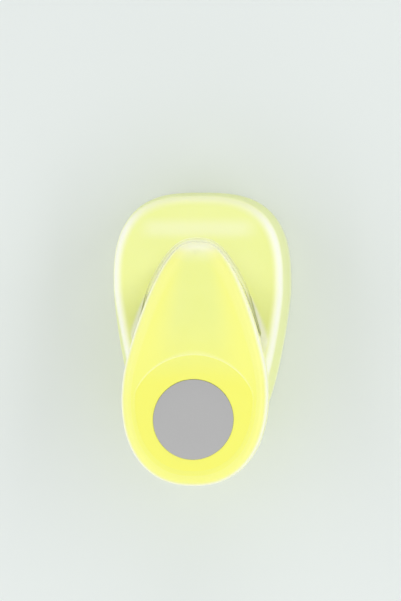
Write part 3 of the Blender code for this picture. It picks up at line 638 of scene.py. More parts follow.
def combine(piece, other, operation="DIFFERENCE"):
    """Join another closed piece to this one, or cut it out, and remove it."""
    only(piece)
    tool = piece.modifiers.new("Join", "BOOLEAN")
    tool.operation = operation
    tool.solver = "EXACT"
    tool.object = other
    bpy.ops.object.modifier_apply(modifier=tool.name)
    bpy.data.objects.remove(other, do_unlink=True)
    return piece


def together(pieces):
    """One object that holds the meshes of several."""
    only(pieces[0])
    for piece in pieces[1:]:
        piece.select_set(True)
    bpy.ops.object.join()
    return bpy.context.active_object


def laid_along_x(piece, centre):
    """Turn a piece made about Z so that its axis lies along X, and move it to a place."""
    piece.data.transform(Matrix.Translation(centre) @ Matrix.Rotation(QUARTER, 4, "Y"))
    return piece


def frame_copy(node):
    """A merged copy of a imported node, with its flat faces made whole."""
    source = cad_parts[node]
    piece = bpy.data.objects.new(node, source.data.copy())
    bpy.context.collection.objects.link(piece)
    piece.data.transform(source.matrix_world)
    only(piece)
    bpy.ops.object.mode_set(mode="EDIT")
    bpy.ops.mesh.select_all(action="SELECT")
    bpy.ops.mesh.remove_doubles(threshold=MERGE_DISTANCE)
    bpy.ops.mesh.dissolve_limited(angle_limit=math.radians(1.0))
    bpy.ops.object.mode_set(mode="OBJECT")
    return piece


def seat(piece, name, body, slot, *nodes):
    """Name, finish and hang a finished piece on its body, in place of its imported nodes."""
    piece.name = piece.data.name = name
    only(piece)
    bpy.ops.object.transform_apply(location=True, rotation=True, scale=True)
    bpy.ops.object.shade_smooth_by_angle(angle=SHARP_ANGLE)
    piece.data.materials.clear()
    piece.data.materials.append(finish_of(slot))
    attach(piece, body)
    if nodes:
        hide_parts(*nodes)
    return piece


def seat_copies(blank, nodes, ending, body, slot):
    """Seat a copy of a blank over each node's centre, and remove the blank."""
    for node in nodes:
        piece = blank.copy()
        piece.data = blank.data.copy()
        bpy.context.collection.objects.link(piece)
        piece.data.transform(Matrix.Translation((*node_centre(node)[:2], 0.0)))
        seat(piece, f"{node}_{ending}", body, slot, node)
    bpy.data.objects.remove(blank, do_unlink=True)


def dressed_copy(node, body, slot, edge, segments=2):
    """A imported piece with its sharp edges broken."""
    seat(bevel_edges(frame_copy(node), edge, segments), f"{node}_dressed", body, slot, node)


def node_centre(node):
    return [(low + high) / 2.0 for low, high in zip(*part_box(node))]


def numbered(group, count=4):
    return [f"{group}_{number}" for number in range(1, count + 1)]


# Finishes


class Wire:
    """One output of a node; sums, differences and products of wires add Math nodes."""

    def __init__(self, recipe, socket):
        self.recipe = recipe
        self.socket = socket

    def maths(self, operation, first, second):
        return self.recipe.node("ShaderNodeMath", {"operation": operation}, {0: first, 1: second})["Value"]

    def __add__(self, other):
        return self.maths("ADD", self, other)

    def __radd__(self, other):
        return self.maths("ADD", other, self)

    def __sub__(self, other):
        return self.maths("SUBTRACT", self, other)

    def __rmul__(self, other):
        return self.maths("MULTIPLY", other, self)


class Recipe:
    """A material's nodes, ending in one Principled shader."""

    def __init__(self, name):
        self.material = bpy.data.materials.new(name)
        self.material.use_nodes = True
        self.tree = self.material.node_tree
        self.tree.nodes.clear()

    def node(self, kind, settings, sockets):
        """Add a node, set its settings, then fill or link its sockets; gives its outputs."""
        made = self.tree.nodes.new(kind)
        for name, value in settings.items():
            setattr(made, name, value)
        for key, value in sockets.items():
            socket = made.inputs[key] if isinstance(key, int) else self.find(made.inputs, key)
            if isinstance(value, Wire):
                self.tree.links.new(value.socket, socket)
            elif hasattr(socket.default_value, "__len__") and len(socket.default_value) == 4:
                socket.default_value = (*value, 1.0)
            else:
                socket.default_value = value
        return {s.identifier: Wire(self, s) for s in made.outputs} | {
            s.name: Wire(self, s) for s in made.outputs if s.enabled
        }

    def find(self, sockets, key):
        return next(s for s in sockets if s.identifier == key or (s.enabled and s.name == key))

    def place(self):
        return self.node("ShaderNodeTexCoord", {}, {})["Object"]

    def stretched(self, scale):
        """Object coordinates with each axis scaled, for grain that runs one way."""
        return self.node("ShaderNodeMapping", {}, {"Vector": self.place(), "Scale": scale})["Vector"]

    def noise(self, scale, detail=2.0, vector=None):
        sockets = {"Vector": vector or self.place(), "Scale": scale, "Detail": detail}
        return self.node("ShaderNodeTexNoise", {}, sockets)["Fac"]

    def spread(self, value, low, high, to_low=0.0, to_high=1.0):
        """Map a range of a value to another, clamped."""
        sockets = {"Value": value, "From Min": low, "From Max": high, "To Min": to_low, "To Max": to_high}
        return self.node("ShaderNodeMapRange", {}, sockets)["Result"]

    def blend(self, share, first, second):
        """A colour between two colours."""
        sockets = {"Factor_Float": share, "A_Color": first, "B_Color": second}
        return self.node("ShaderNodeMix", {"data_type": "RGBA"}, sockets)["Result_Color"]

    def attribute(self, name):
        return self.node("ShaderNodeAttribute", {"attribute_name": name}, {})["Fac"]

    def bump(self, height, distance, strength, **under):
        sockets = {"Height": height, "Distance": distance, "Strength": strength, **under}
        return self.node("ShaderNodeBump", {}, sockets)["Normal"]

    def finish(self, shade, rough, **sockets):
        shader_sockets = {"Base Color": shade, "Roughness": rough}
        shader_sockets |= {name.replace("_", " "): value for name, value in sockets.items()}
        shader = self.node("ShaderNodeBsdfPrincipled", {}, shader_sockets)["BSDF"]
        self.node("ShaderNodeOutputMaterial", {}, {"Surface": shader})
        return self.material


def paler(shade, share):
    return tuple(c + (1.0 - c) * share for c in shade)


def darker(shade, share):
    return tuple(c * (1.0 - share) for c in shade)


def moulded_plastic(name, main, rim, deep_tone_and_shade, flank=None):
    """Satin moulded plastic: cloudy tint, painted highlights and painted light toward a near-white colour,
    painted shade and a deeper tone, painted light along the lever's flanks, fine spark texture, handling
    marks.
    """
    recipe = Recipe(name)
    cloud = recipe.spread(recipe.noise(45.0, 3.0), 0.35, 0.65)
    body = recipe.blend(cloud, darker(main, 0.012), paler(main, 0.03))
    # Painted shade down the cover's wall and toward the lever's thumb end, and the deeper tone of the thumb
    # pad
    body = recipe.blend(recipe.attribute("depth"), body, deep_tone_and_shade)
    if flank:
        body = recipe.blend(recipe.attribute("flank"), body, flank)
    specks = recipe.spread(recipe.noise(2600.0, 1.0), 0.70, 0.78, 0.0, 0.18)
    body = recipe.blend(specks, body, paler(main, 0.35))
    # Painted highlight and painted light: colour blended toward near white on rims, shoulders, the nose and
    # the slit round the lever
    with_painted_light = recipe.blend(recipe.attribute("paleness"), body, rim)
    marks = recipe.spread(recipe.noise(1.0, 4.0, recipe.stretched((260.0, 900.0, 900.0))), 0.5, 0.8)
    smears = recipe.spread(recipe.noise(95.0, 3.0), 0.4, 0.75)
    rough = (LEVER_ROUGHNESS if flank else CASE_ROUGHNESS) + 0.03 * smears + 0.015 * marks
    height = 0.6 * recipe.noise(3600.0, 1.0) + 0.4 * recipe.noise(1500.0, 2.0)
    peel = recipe.bump(recipe.noise(140.0, 1.0), 0.00004, 0.4)
    return recipe.finish(
        with_painted_light, rough, Normal=recipe.bump(height, 0.00001, 0.3, Normal=peel), IOR=1.5,
        Subsurface_Weight=0.12, Subsurface_Radius=(1.0, 0.9, 0.35), Subsurface_Scale=0.0025,
    )


def printed_disc(name, main):
    """Flat even grey with a fine matt grain."""
    recipe = Recipe(name)
    grain = recipe.noise(3800.0, 2.0)
    shade = recipe.blend(recipe.spread(grain, 0.3, 0.7), darker(main, 0.025), paler(main, 0.02))
    rough = 0.66 + 0.06 * recipe.noise(160.0, 2.0)
    return recipe.finish(shade, rough, Normal=recipe.bump(grain, 0.00001, 0.4))


def ground_steel(name, main):
    """Surface-ground steel: fine straight lines and faint stains."""
    recipe = Recipe(name)
    lines = recipe.noise(1.0, 3.0, recipe.stretched((110.0, 7000.0, 7000.0)))
    wide_lines = recipe.spread(lines, 0.3, 0.7)
    stains = recipe.spread(recipe.noise(60.0, 4.0), 0.45, 0.75)
    shade = recipe.blend(wide_lines, darker(main, 0.16), paler(main, 0.12))
    shade = recipe.blend(0.25 * stains, shade, darker(main, 0.35))
    rough = 0.24 + 0.14 * wide_lines + 0.10 * stains
    return recipe.finish(shade, rough, Metallic=1.0, Normal=recipe.bump(lines, 0.00001, 0.5))


def blackened_steel(name, main):
    """Pressed steel with a black oxide skin, rubbed bright where it is handled."""
    recipe = Recipe(name)
    skin = recipe.noise(420.0, 4.0)
    point = recipe.node("ShaderNodeNewGeometry", {}, {})["Pointiness"]
    worn = recipe.spread(point + 0.06 * (skin - 0.5), 0.52, 0.56)
    shade = recipe.blend(recipe.spread(skin, 0.35, 0.7), darker(main, 0.25), paler(main, 0.08))
    shade = recipe.blend(worn, shade, paler(main, 0.45))
    rough = 0.46 + 0.16 * skin - 0.16 * worn
    return recipe.finish(shade, rough, Metallic=0.9, Normal=recipe.bump(skin, 0.00002, 0.35))


def turned_steel(name, main):
    """Steel turned on a lathe, with fine rings across its length."""
    recipe = Recipe(name)
    rings = recipe.noise(1.0, 2.0, recipe.stretched((5200.0, 300.0, 5200.0)))
    shade = recipe.blend(rings, darker(main, 0.18), paler(main, 0.1))
    return recipe.finish(shade, 0.2 + 0.16 * rings, Metallic=1.0, Normal=recipe.bump(rings, 0.000008, 0.5))


def spring_steel(name, main):
    """Drawn and tempered wire and strip, with a faint straw tint."""
    recipe = Recipe(name)
    temper = recipe.spread(recipe.noise(300.0, 2.0), 0.35, 0.7)
    shade = recipe.blend(temper, main, (main[0] * 1.15, main[1] * 1.02, main[2] * 0.82))
    return recipe.finish(shade, 0.28 + 0.12 * recipe.noise(1500.0, 2.0), Metallic=1.0)


def zinc_plate(name, main):
    """Clear-passivated zinc: bright, with a faint blue and straw bloom."""
    recipe = Recipe(name)
    blue, straw = (main[0] * 0.92, main[1] * 0.98, main[2] * 1.04), (main[0], main[1] * 0.98, main[2] * 0.86)
    shade = recipe.blend(recipe.noise(380.0, 3.0), blue, straw)
    rough = 0.26 + 0.18 * recipe.spread(recipe.noise(2400.0, 2.0), 0.3, 0.7)
    return recipe.finish(shade, rough, Metallic=1.0)


def painted_board(name, main):
    """Pale painted board of the studio floor."""
    recipe = Recipe(name)
    shade = recipe.blend(recipe.noise(8.0, 2.0), darker(main, 0.015), paler(main, 0.02))
    return recipe.finish(shade, 0.55 + 0.1 * recipe.noise(30.0, 2.0))


FINISHES = {
    "case_plastic": (moulded_plastic, "case", "case_highlight", "wall"),
    "lever_plastic": (moulded_plastic, "lever", "lever_highlight", "pad", "lever_lit_flank"),
    "disc_plastic": (printed_disc, "disc"),
    "tool_steel": (ground_steel, "ground"),
    "dark_steel": (blackened_steel, "black"),
    "pin_steel": (turned_steel, "turned"),
    "spring_steel": (spring_steel, "spring"),
    "zinc_screw": (zinc_plate, "zinc"),
    "studio_floor": (painted_board, "floor"),
}


def finish_of(slot):
    """The finish of a slot, made once."""
    name = f"{slot}_finish"
    rule, *fields = FINISHES[slot]
    colours = bpy.context.scene.punch_colours
    return bpy.data.materials.get(name) or rule(name, *[tuple(getattr(colours, field)) for field in fields])


# Lever


def lever_top(y):
    """Height of the lever's top, which rises from the nose to the thumb end."""
    return COVER_TOP + LEVER_PROUD + LEVER_SLOPE * (NOSE_Y - y)


def side_inset(depth, edge):
    """How far inside its outline the lever's side lies at a depth below its top.

    Below the skirt it is what the lever draws back by the time that it comes down there.
    """
    if depth < edge:
        return LEVER_DRAFT + edge - math.sqrt(edge**2 - (edge - max(0.0, depth)) ** 2)
    stops = ((edge, LEVER_DRAFT), SKIRT_BEND, (LEVER_SKIRT - LEVER_FOOT, 0.0))
    for (high, first), (low, second) in zip(stops, stops[1:]):
        if depth < low:
            return first + (second - first) * (depth - high) / (low - high)
    return min(DRAW_BACK, DRAW_BACK_RATE * max(0.0, depth - LEVER_SKIRT))


def pad_sink(y, sizes):
    """Depth of the thumb pad's floor, which runs out toward the thumb end."""
    return sizes.pad_depth * max(0.0, 0.5 + (y - DISC_Y) / (2.0 * sizes.pad_radius))


def add_pad_rings(rings, sizes, aims, tilt, pad_reach):
    """Rings from inside the disc's seat over its lip and the pad's floor to the pad's brim."""

    def pad_ring(radius_rule, drop=0.0, sunk=1.0, paleness=0.0, depth=1.0):
        points = []
        for (ux, uy), reach in aims:
            radius = radius_rule(reach)
            x, y = ux * radius, DISC_Y + uy * radius / tilt
            points.append((x, y, lever_top(y) - pad_sink(y, sizes) * sunk - drop))
        rings.add(points, paleness, depth)

    hole = DISC_RADIUS + sizes.disc_fit
    floor = hole + SEAT_LIP
    for radius in (hole * 0.5, hole):
        pad_ring(lambda reach: radius, FIT_GAP + DISC_THICKNESS)
    for out, drop in quarter_round(3):
        pad_ring(lambda reach: hole + SEAT_LIP * out, SEAT_LIP * drop)
    for step in range(1, PAD_FLOOR_RINGS + 1):
        share = step / PAD_FLOOR_RINGS
        pad_ring(lambda reach: floor + (pad_reach(reach) - PAD_RISE - floor) * share)
    for step in range(1, PAD_RISE_RINGS + 1):
        share = step / PAD_RISE_RINGS
        # Painted highlight along the pad's brim
        tint = PAD_BRIM_TINT * math.sin(math.pi * step / (PAD_RISE_RINGS + 1))
        sunk = 1.0 - smooth_share(share, 0.0, 1.0)
        out = (PAD_RISE + PAD_BRIM) * share - PAD_RISE
        pad_ring(lambda reach: pad_reach(reach) + out, 0.0, sunk, tint, 1.0 - share)
    rings.mark("face")


def lever_rings(sizes):
    """Rings of the lever's skin from the disc's seat outward, down and back inside."""
    rim = lever_outline(LEVER_DRAFT + sizes.lever_edge)
    aims = spokes(rim, (0.0, DISC_Y))
    tilt = math.sqrt(1.0 + LEVER_SLOPE**2)
    rings = Rings()

    def pad_reach(reach):
        return soft_least(sizes.pad_radius, reach - PAD_MARGIN, PAD_SOFTNESS)

    add_pad_rings(rings, sizes, aims, tilt, pad_reach)
    for step in range(1, FACE_STEPS + 1):
        share = step / FACE_STEPS
        points = []
        for (ux, uy), reach in aims:
            start = pad_reach(reach) + PAD_BRIM
            radius = start + (reach - start) * share
            x, y = ux * radius, DISC_Y + uy * (radius * ((1.0 - share) / tilt + share))
            rise = faded(sizes.lever_crown, (y - DISC_Y, CROWN_STARTS))
            points.append((x, y, lever_top(y) + rise * (1.0 - share_across(rim, x, y) ** 2)))
        # Painted highlight near the outer edge of the crest
        rings.add(points, faded(FACE_TINT, (share, FACE_PALES)))
    # Painted highlight round the rounded edge, strongest part way round
    for step, (inward, drop) in enumerate(quarter_round(LEVER_EDGE_STEPS)[-2::-1], 1):
        tint = FACE_TINT + faded(EDGE_TINT, (step / LEVER_EDGE_STEPS, EDGE_PALES))
        outline = lever_outline(LEVER_DRAFT + sizes.lever_edge * inward)
        rings.along(outline, lambda y: lever_top(y) - sizes.lever_edge * drop, tint)
    # The foot is as round on its inside as on its outside
    foot = rounded_end(LEVER_WALL, LEVER_FOOT)
    foot.insert(4, (LEVER_WALL - foot[1][0], foot[1][1]))
    # Painted light on the skirt
    for depth, inward in (SKIRT_BEND, *((LEVER_SKIRT - rise, inset) for inset, rise in foot)):
        rings.along(lever_outline(inward), lambda y: lever_top(y) - depth, SKIRT_TINT)
    inner_edge = sizes.lever_edge - LEVER_WALL
    # Painted light inside the lever
    for inward, drop in quarter_round(ROUND_STEPS):
        outline = lever_outline(LEVER_WALL + LEVER_DRAFT + inner_edge * inward)
        rings.along(outline, lambda y: lever_top(y) - LEVER_WALL - inner_edge * drop, INSIDE_TINT)
    inner = lever_outline(LEVER_WALL + LEVER_DRAFT + inner_edge)
    for share in (0.75, 0.5, 0.25, 0.08):
        smaller = [(x * share, DISC_Y + (y - DISC_Y) * share) for x, y in inner]
        rings.along(smaller, lambda y: lever_top(y) - LEVER_WALL)
    return rings


def neck_profile():
    """The lever's hidden part in YZ: hinge eye, neck and the cam that presses the yoke."""
    inside = LEVER_WALL / 2.0
    rear_y = PUNCH_Y - CAM_RADIUS
    points = arc((PIVOT_Y, PIVOT_Z), EYE_RADIUS, -QUARTER, QUARTER, 16)
    points.append((NOSE_Y - LEVER_DRAFT - inside, PIVOT_Z + EYE_RADIUS))
    nose = arc((NOSE_Y - LEVER_DRAFT - NECK_EDGE, 0.0), NECK_EDGE - inside, 0.0, QUARTER, 6)
    points += [(y, lever_top(y) - NECK_EDGE + rise) for y, rise in nose]
    points.append((rear_y, lever_top(rear_y) - inside))
    return points + arc((PUNCH_Y, PIVOT_Z + CAM_RADIUS), CAM_RADIUS, math.pi, 2.0 * math.pi, 12)


def lever_neck():
    """Neck with its cam and a bored eye."""
    neck = prism("lever_neck", neck_profile(), -NECK_HALF_WIDTH, NECK_HALF_WIDTH, along_x=True)
    bevel_edges(neck, NECK_BEVEL, angle=math.radians(60.0))
    reach = NECK_HALF_WIDTH + CUT_OVERRUN
    bore = turned("bore", [(PIN_BORE, -reach), (PIN_BORE, reach)])
    return combine(neck, laid_along_x(bore, (0.0, PIVOT_Y, PIVOT_Z)))


def lever_rib(side):
    """Stiffening rib under the lever's top."""
    start_y = PUNCH_Y - CAM_RADIUS + UNION_OVERLAP
    end_y = LEVER_WIDEST_Y - LEVER_REAR_REACH + NECK_EDGE + LEVER_WALL
    places = [start_y + (end_y - start_y) * step / RIB_STEPS for step in range(RIB_STEPS + 1)]
    outline = [(y, lever_top(y) - LEVER_WALL / 2.0) for y in places]
    outline += [(y, lever_top(y) - LEVER_WALL - RIB_HEIGHT) for y in reversed(places)]
    outer = side * (NECK_HALF_WIDTH + UNION_OVERLAP)
    low, high = sorted((outer, outer - side * RIB_THICKNESS))
    return bevel_edges(prism("rib", outline, low, high, along_x=True), RIB_BEVEL)


class PUNCH_OT_lever(bpy.types.Operator):
    """Model the thumb lever: crowned shell with a thumb pad, neck, cam, eye and ribs"""

    bl_idname = "punch.lever"
    bl_label = "Thumb lever"

    def execute(self, context):
        rings = lever_rings(context.scene.punch_sizes)
        shell = loft("lever_shell", rings.points, rings.paleness)
        self.tint(shell, rings)
        seat(shell, "lever_shell", "thumb_lever", "lever_plastic", "lever")
        works = together([lever_neck(), lever_rib(-1.0), lever_rib(1.0)])
        seat(works, "lever_neck", "thumb_lever", "lever_plastic")
        return {"FINISHED"}

    def tint(self, shell, rings):
        """Deeper colour in the pad, painted shade toward the thumb end, painted light along the flanks,
        painted highlights on the pad's brim and over the nose.
        """
        rim = lever_outline()
        depth, flank, paleness = vertex_fields(shell, "depth", "flank", "paleness")
        for number, vert in enumerate(shell.data.vertices):
            x, y, _ = vert.co
            ring = number // RING_POINTS
            in_pad = rings.depth[ring]
            # Deeper colour in the pad, and painted shade: a deeper yellow laid toward the thumb end
            pad_tint = in_pad * (0.5 + faded(0.5, (y, PAD_DEEPENS)))
            depth[number].value = max(pad_tint, faded(THUMB_END_SHADE, (y, LEVER_DEEPENS)))
            # Painted light: brighter colour along the flanks, less toward the thumb end and in the pad
            outer = faded(FLANK_TINT, (share_across(rim, x, y), FLANK_STARTS))
            outer *= 1.0 - faded(FLANK_LOSS, (y, FLANK_EASES))
            flank[number].value = outer * (1.0 - PAD_FLANK_LOSS * in_pad)
            # The painted highlight on the pad's brim fades out on the lower side of the pad
            if ring < rings.marks["face"]:
                paleness[number].value *= smooth_share(y - DISC_Y, *PAD_PALES)
            # Painted highlight: a pale band over the nose and its tip
            thin = faded(NOSE_TINT, (NOSE_Y - y, NOSE_PALES)) + faded(TIP_TINT, (NOSE_Y - y, TIP_PALES))
            paleness[number].value = max(paleness[number].value, thin)


class PUNCH_OT_disc(bpy.types.Operator):
    """Model the plain grey disc that is let into the thumb pad"""

    bl_idname = "punch.disc"
    bl_label = "Shape disc"

    def execute(self, context):
        sizes = context.scene.punch_sizes
        middle = DISC_EDGE * ROUND_MIDDLE
        profile = [(DISC_RADIUS * 0.5, 0.0), (DISC_RADIUS - DISC_EDGE, 0.0)]
        profile += [(DISC_RADIUS - middle, -middle), (DISC_RADIUS, -DISC_EDGE)]
        profile.append((DISC_RADIUS, -DISC_THICKNESS))
        disc = turned("disc_inlay", profile, count=DISC_POINTS)
        place = Matrix.Translation((0.0, DISC_Y, lever_top(DISC_Y)))
        floor_slope = LEVER_SLOPE + sizes.pad_depth / (2.0 * sizes.pad_radius)
        tilt = Matrix.Rotation(-math.atan(floor_slope), 4, "X")
        disc.data.transform(place @ tilt @ Matrix.Translation((0.0, 0.0, -pad_sink(DISC_Y, sizes))))
        seat(disc, "disc_inlay", "thumb_lever", "disc_plastic", "motif_disc")
        return {"FINISHED"}


# Case


def cover_top(y):
    """Height of the cover: high over the punch, sloping down to a deck under the lever."""
    if y >= COVER_DECK_Y:
        return COVER_DECK + faded(COVER_TOP - COVER_DECK, (y, (COVER_DECK_Y, COVER_SLOPE_FRONT_Y)))
    rear_y = BODY_WIDEST_Y - BODY_REAR_REACH
    return COVER_DECK + (COVER_REAR_TOP - COVER_DECK) * (COVER_DECK_Y - y) / (COVER_DECK_Y - rear_y)


def opening_reaches(drop, sizes, aims):
    """Distances to the opening's edge at a depth below the cover's face, close round the lever's side."""
    inner, outer = lever_outline(LEVER_DRAFT - sizes.opening_gap), lever_outline(-sizes.opening_gap)
    edge = []
    for near, far in zip(inner, outer):
        rise = faded(sizes.cover_crown, (far[1], COVER_CROWN_RUN))
        depth = lever_top(far[1]) - cover_top(far[1]) - rise + drop
        share = side_inset(depth, sizes.lever_edge) / LEVER_DRAFT
        edge.append(tuple(f + (n - f) * share for n, f in zip(near, far)))
    reaches = []
    for direction, _ in aims:
        reach = reach_along(direction, (0.0, OPENING_CENTRE_Y), edge)
        if direction[1] < REARWARD:
            reach = soft_least(reach, (OPENING_REAR_Y - OPENING_CENTRE_Y) / direction[1], OPENING_CORNER)
        reaches.append(reach)
    return reaches


def cover_rings(sizes):
    """Rings of the cover from the opening's lip outward, down the wall and back inside."""
    outer_inset, inner_edge = COVER_DRAFT + sizes.cover_edge, sizes.cover_edge - COVER_WALL
    step_out, depth = sizes.cover_step, sizes.cover_step_depth
    aims = spokes(body_outline(outer_inset), (0.0, OPENING_CENTRE_Y))
    starts = opening_reaches(depth, sizes, aims)
    ledge_ends = [OPENING_CENTRE_Y + direction[1] * start for (direction, _), start in zip(aims, starts)]
    ledges = [-LEDGE_LOSS * step_out * (1.0 - smooth_share(y, *LEDGE_RUN)) for y in ledge_ends]
    rings = Rings()

    def beside(out, reaches=starts):
        """Distances to a line that lies a little outside the opening's edge."""
        past_ledge = out >= step_out - STEP_ROUND
        return [reach + out + ledge * past_ledge for reach, ledge in zip(reaches, ledges)]

    def ring(directions, radii, share, drop, paleness=0.0):
        points = []
        for (ux, uy), radius in zip(directions, radii):
            x, y = ux * radius, OPENING_CENTRE_Y + uy * radius
            rise = sizes.cover_crown * smooth_share(share, 1.0, 0.0) * smooth_share(y, *COVER_CROWN_RUN)
            points.append((x, y, cover_top(y) + rise - drop))
        rings.add(points, paleness)

    def lip_ring(out, drop, paleness, reaches=starts):
        ring([direction for direction, _ in aims], beside(out, reaches), 0.0, drop, paleness)

    def face(inset, drop, out, shares):
        """Rings over the cover's face, or under it, at shares of the way to its edge."""
        directions, ends = zip(*spokes(body_outline(inset), (0.0, OPENING_CENTRE_Y)))
        for share in shares:
            radii = [near + (end - near) * share for near, end in zip(beside(out), ends)]
            ring(directions, radii, share, drop)

    # Painted light in the slit round the lever: its wall and ledge are paled so that the shade in the narrow
    # gap reads light
    lip_ring(STEP_ROUND, COVER_WALL, 0.6, opening_reaches(COVER_WALL, sizes, aims))
    wall_low, wall_high = COVER_WALL - STEP_ROUND, depth + STEP_ROUND
    for step in range(WALL_STEPS + 1):
        drop = wall_low + (wall_high - wall_low) * step / WALL_STEPS
        lip_ring(0.0, drop, 0.8, opening_reaches(drop, sizes, aims))
    lip_ring(STEP_ROUND, depth, 0.7)
    lip_ring(step_out - STEP_ROUND, depth, 0.35)
    lip_ring(step_out, depth - STEP_ROUND, 0.3)
    rings.mark("face")
    # Painted highlight on the lip's rounding
    for out, drop in quarter_round(ROUND_STEPS)[:-1]:
        lip_ring(step_out + sizes.cover_lip * out, sizes.cover_lip * drop, LIP_TINT)
    face(outer_inset, 0.0, step_out + sizes.cover_lip, [step / FACE_STEPS for step in range(FACE_STEPS + 1)])
    rings.mark("edge")
    # Painted highlight along the middle of the shoulder's rounding
    for step, (inward, drop) in enumerate(quarter_round(COVER_EDGE_STEPS)[-2::-1], 1):
        share = step / COVER_EDGE_STEPS
        tint = SHOULDER_TINT * math.sin(2.0 * QUARTER * (1.0 - share)) ** 2 + SHOULDER_FOOT_TINT * share
        outline = body_outline(COVER_DRAFT + sizes.cover_edge * inward)
        rings.along(outline, lambda y: cover_top(y) - sizes.cover_edge * drop, tint)
    rings.mark("wall")
    # A little painted light down the wall and at its foot
    for share in (0.6, 0.25):
        rings.along(
            body_outline(COVER_DRAFT * share),
            lambda y: COVER_LOW + (cover_top(y) - sizes.cover_edge - COVER_LOW) * share,
            WALL_TINT,
        )
    rings.mark("foot")
    for inset, rise in rounded_end(COVER_WALL, COVER_FOOT):
        rings.along(body_outline(inset), lambda y: COVER_LOW + rise, COVER_FOOT_TINT)
    for inward, drop in quarter_round(ROUND_STEPS):
        outline = body_outline(COVER_WALL + COVER_DRAFT + inner_edge * inward)
        rings.along(outline, lambda y: cover_top(y) - COVER_WALL - inner_edge * drop)
    shares = [1.0 - step / UNDERSIDE_STEPS for step in range(1, UNDERSIDE_STEPS)]
    face(COVER_WALL + COVER_DRAFT + inner_edge, COVER_WALL, STEP_ROUND, shares)
    rings.add(rings.points[0], rings.paleness[0])
    return rings


def boss(place, high):
    """A screw boss: a tube with a blind bore, standing on the cover's underside."""
    profile = [(BOSS_BORE * 0.5, BOSS_TIP), (BOSS_BORE, BOSS_TIP), (BOSS_BORE, COVER_LOW)]
    profile += [(BOSS_RADIUS, COVER_LOW), (BOSS_RADIUS, high)]
    return turned("boss", profile, place, SMALL_POINTS)


class PUNCH_OT_cover(bpy.types.Operator):
    """Model the case's cover with its shoulder, the lever's opening and the screw bosses"""

    bl_idname = "punch.cover"
    bl_label = "Case cover"

    def execute(self, context):
        rings = cover_rings(context.scene.punch_sizes)
        shell = loft("cover_shell", rings.points, rings.paleness, joined=True)
        self.tint(shell, rings.marks)
        bosses = []
        for node in numbered("housing_screw"):
            x, y, _ = node_centre(node)
            bosses.append(boss((x, y), cover_top(y) - COVER_WALL + UNION_OVERLAP))
        seat(together([shell] + bosses), "cover_shell", "chassis", "case_plastic", "housing_cover")
        return {"FINISHED"}

    def tint(self, shell, marks):
        """Painted reflection in a band before the nose, painted highlight beside the lever, painted shade
        down the wall; the painted highlights fade toward the front.
        """
        rim = lever_outline()
        depth, paleness = vertex_fields(shell, "depth", "paleness")
        for number, vert in enumerate(shell.data.vertices):
            side, y, ring = abs(vert.co.x), vert.co.y, number // RING_POINTS
            paleness[number].value *= 1.0 - faded(FRONT_LOSS, (y, FRONT_EASES))
            if marks["face"] <= ring < marks["edge"]:
                # Painted reflection in a band before the nose, and painted highlight beside the lever
                brow = faded(BROW_TINT, (y, BROW_STARTS), (y, BROW_ENDS), (side, BROW_SIDE))
                band = BESIDE_NARROW + faded(BESIDE_SPREAD, (y, BESIDE_WIDENS))
                off = side - width_of(rim, y)
                beside = faded(BESIDE_TINT, (off, BESIDE_STARTS), (off, (band, 0.4 * band)))
                beside = faded(beside, (y, BESIDE_FRONT), (y, BESIDE_REAR))
                paleness[number].value = max(paleness[number].value, brow, beside)
            # Painted shade: deeper colour down the wall
            if ring < marks["foot"] + 3:
                depth[number].value = faded(WALL_SHADE, (ring, (marks["edge"] + 4, marks["wall"])))


def tray_rim(y):
    """Height of the tray's wall: lower in front, where the paper goes in."""
    return TRAY_HEIGHT + faded(TRAY_RIM - TRAY_HEIGHT, (SLOT_REAR_Y - y, (0.0, SLOT_STEP)))


def stepped_outline(inset):
    """The body outline with the points on either side of the wall's step moved close to it."""
    made = body_outline(inset)
    for number in range(RING_POINTS // 2):
        (ax, ay), (bx, by) = made[number], made[number + 1]
        if ay > SLOT_REAR_Y >= by:
            for place, y in ((number, SLOT_REAR_Y), (number + 1, SLOT_REAR_Y - SLOT_STEP)):
                x = ax + (bx - ax) * (ay - y) / (ay - by)
                made[place], made[-place] = (x, y), (-x, y)
            break
    return made


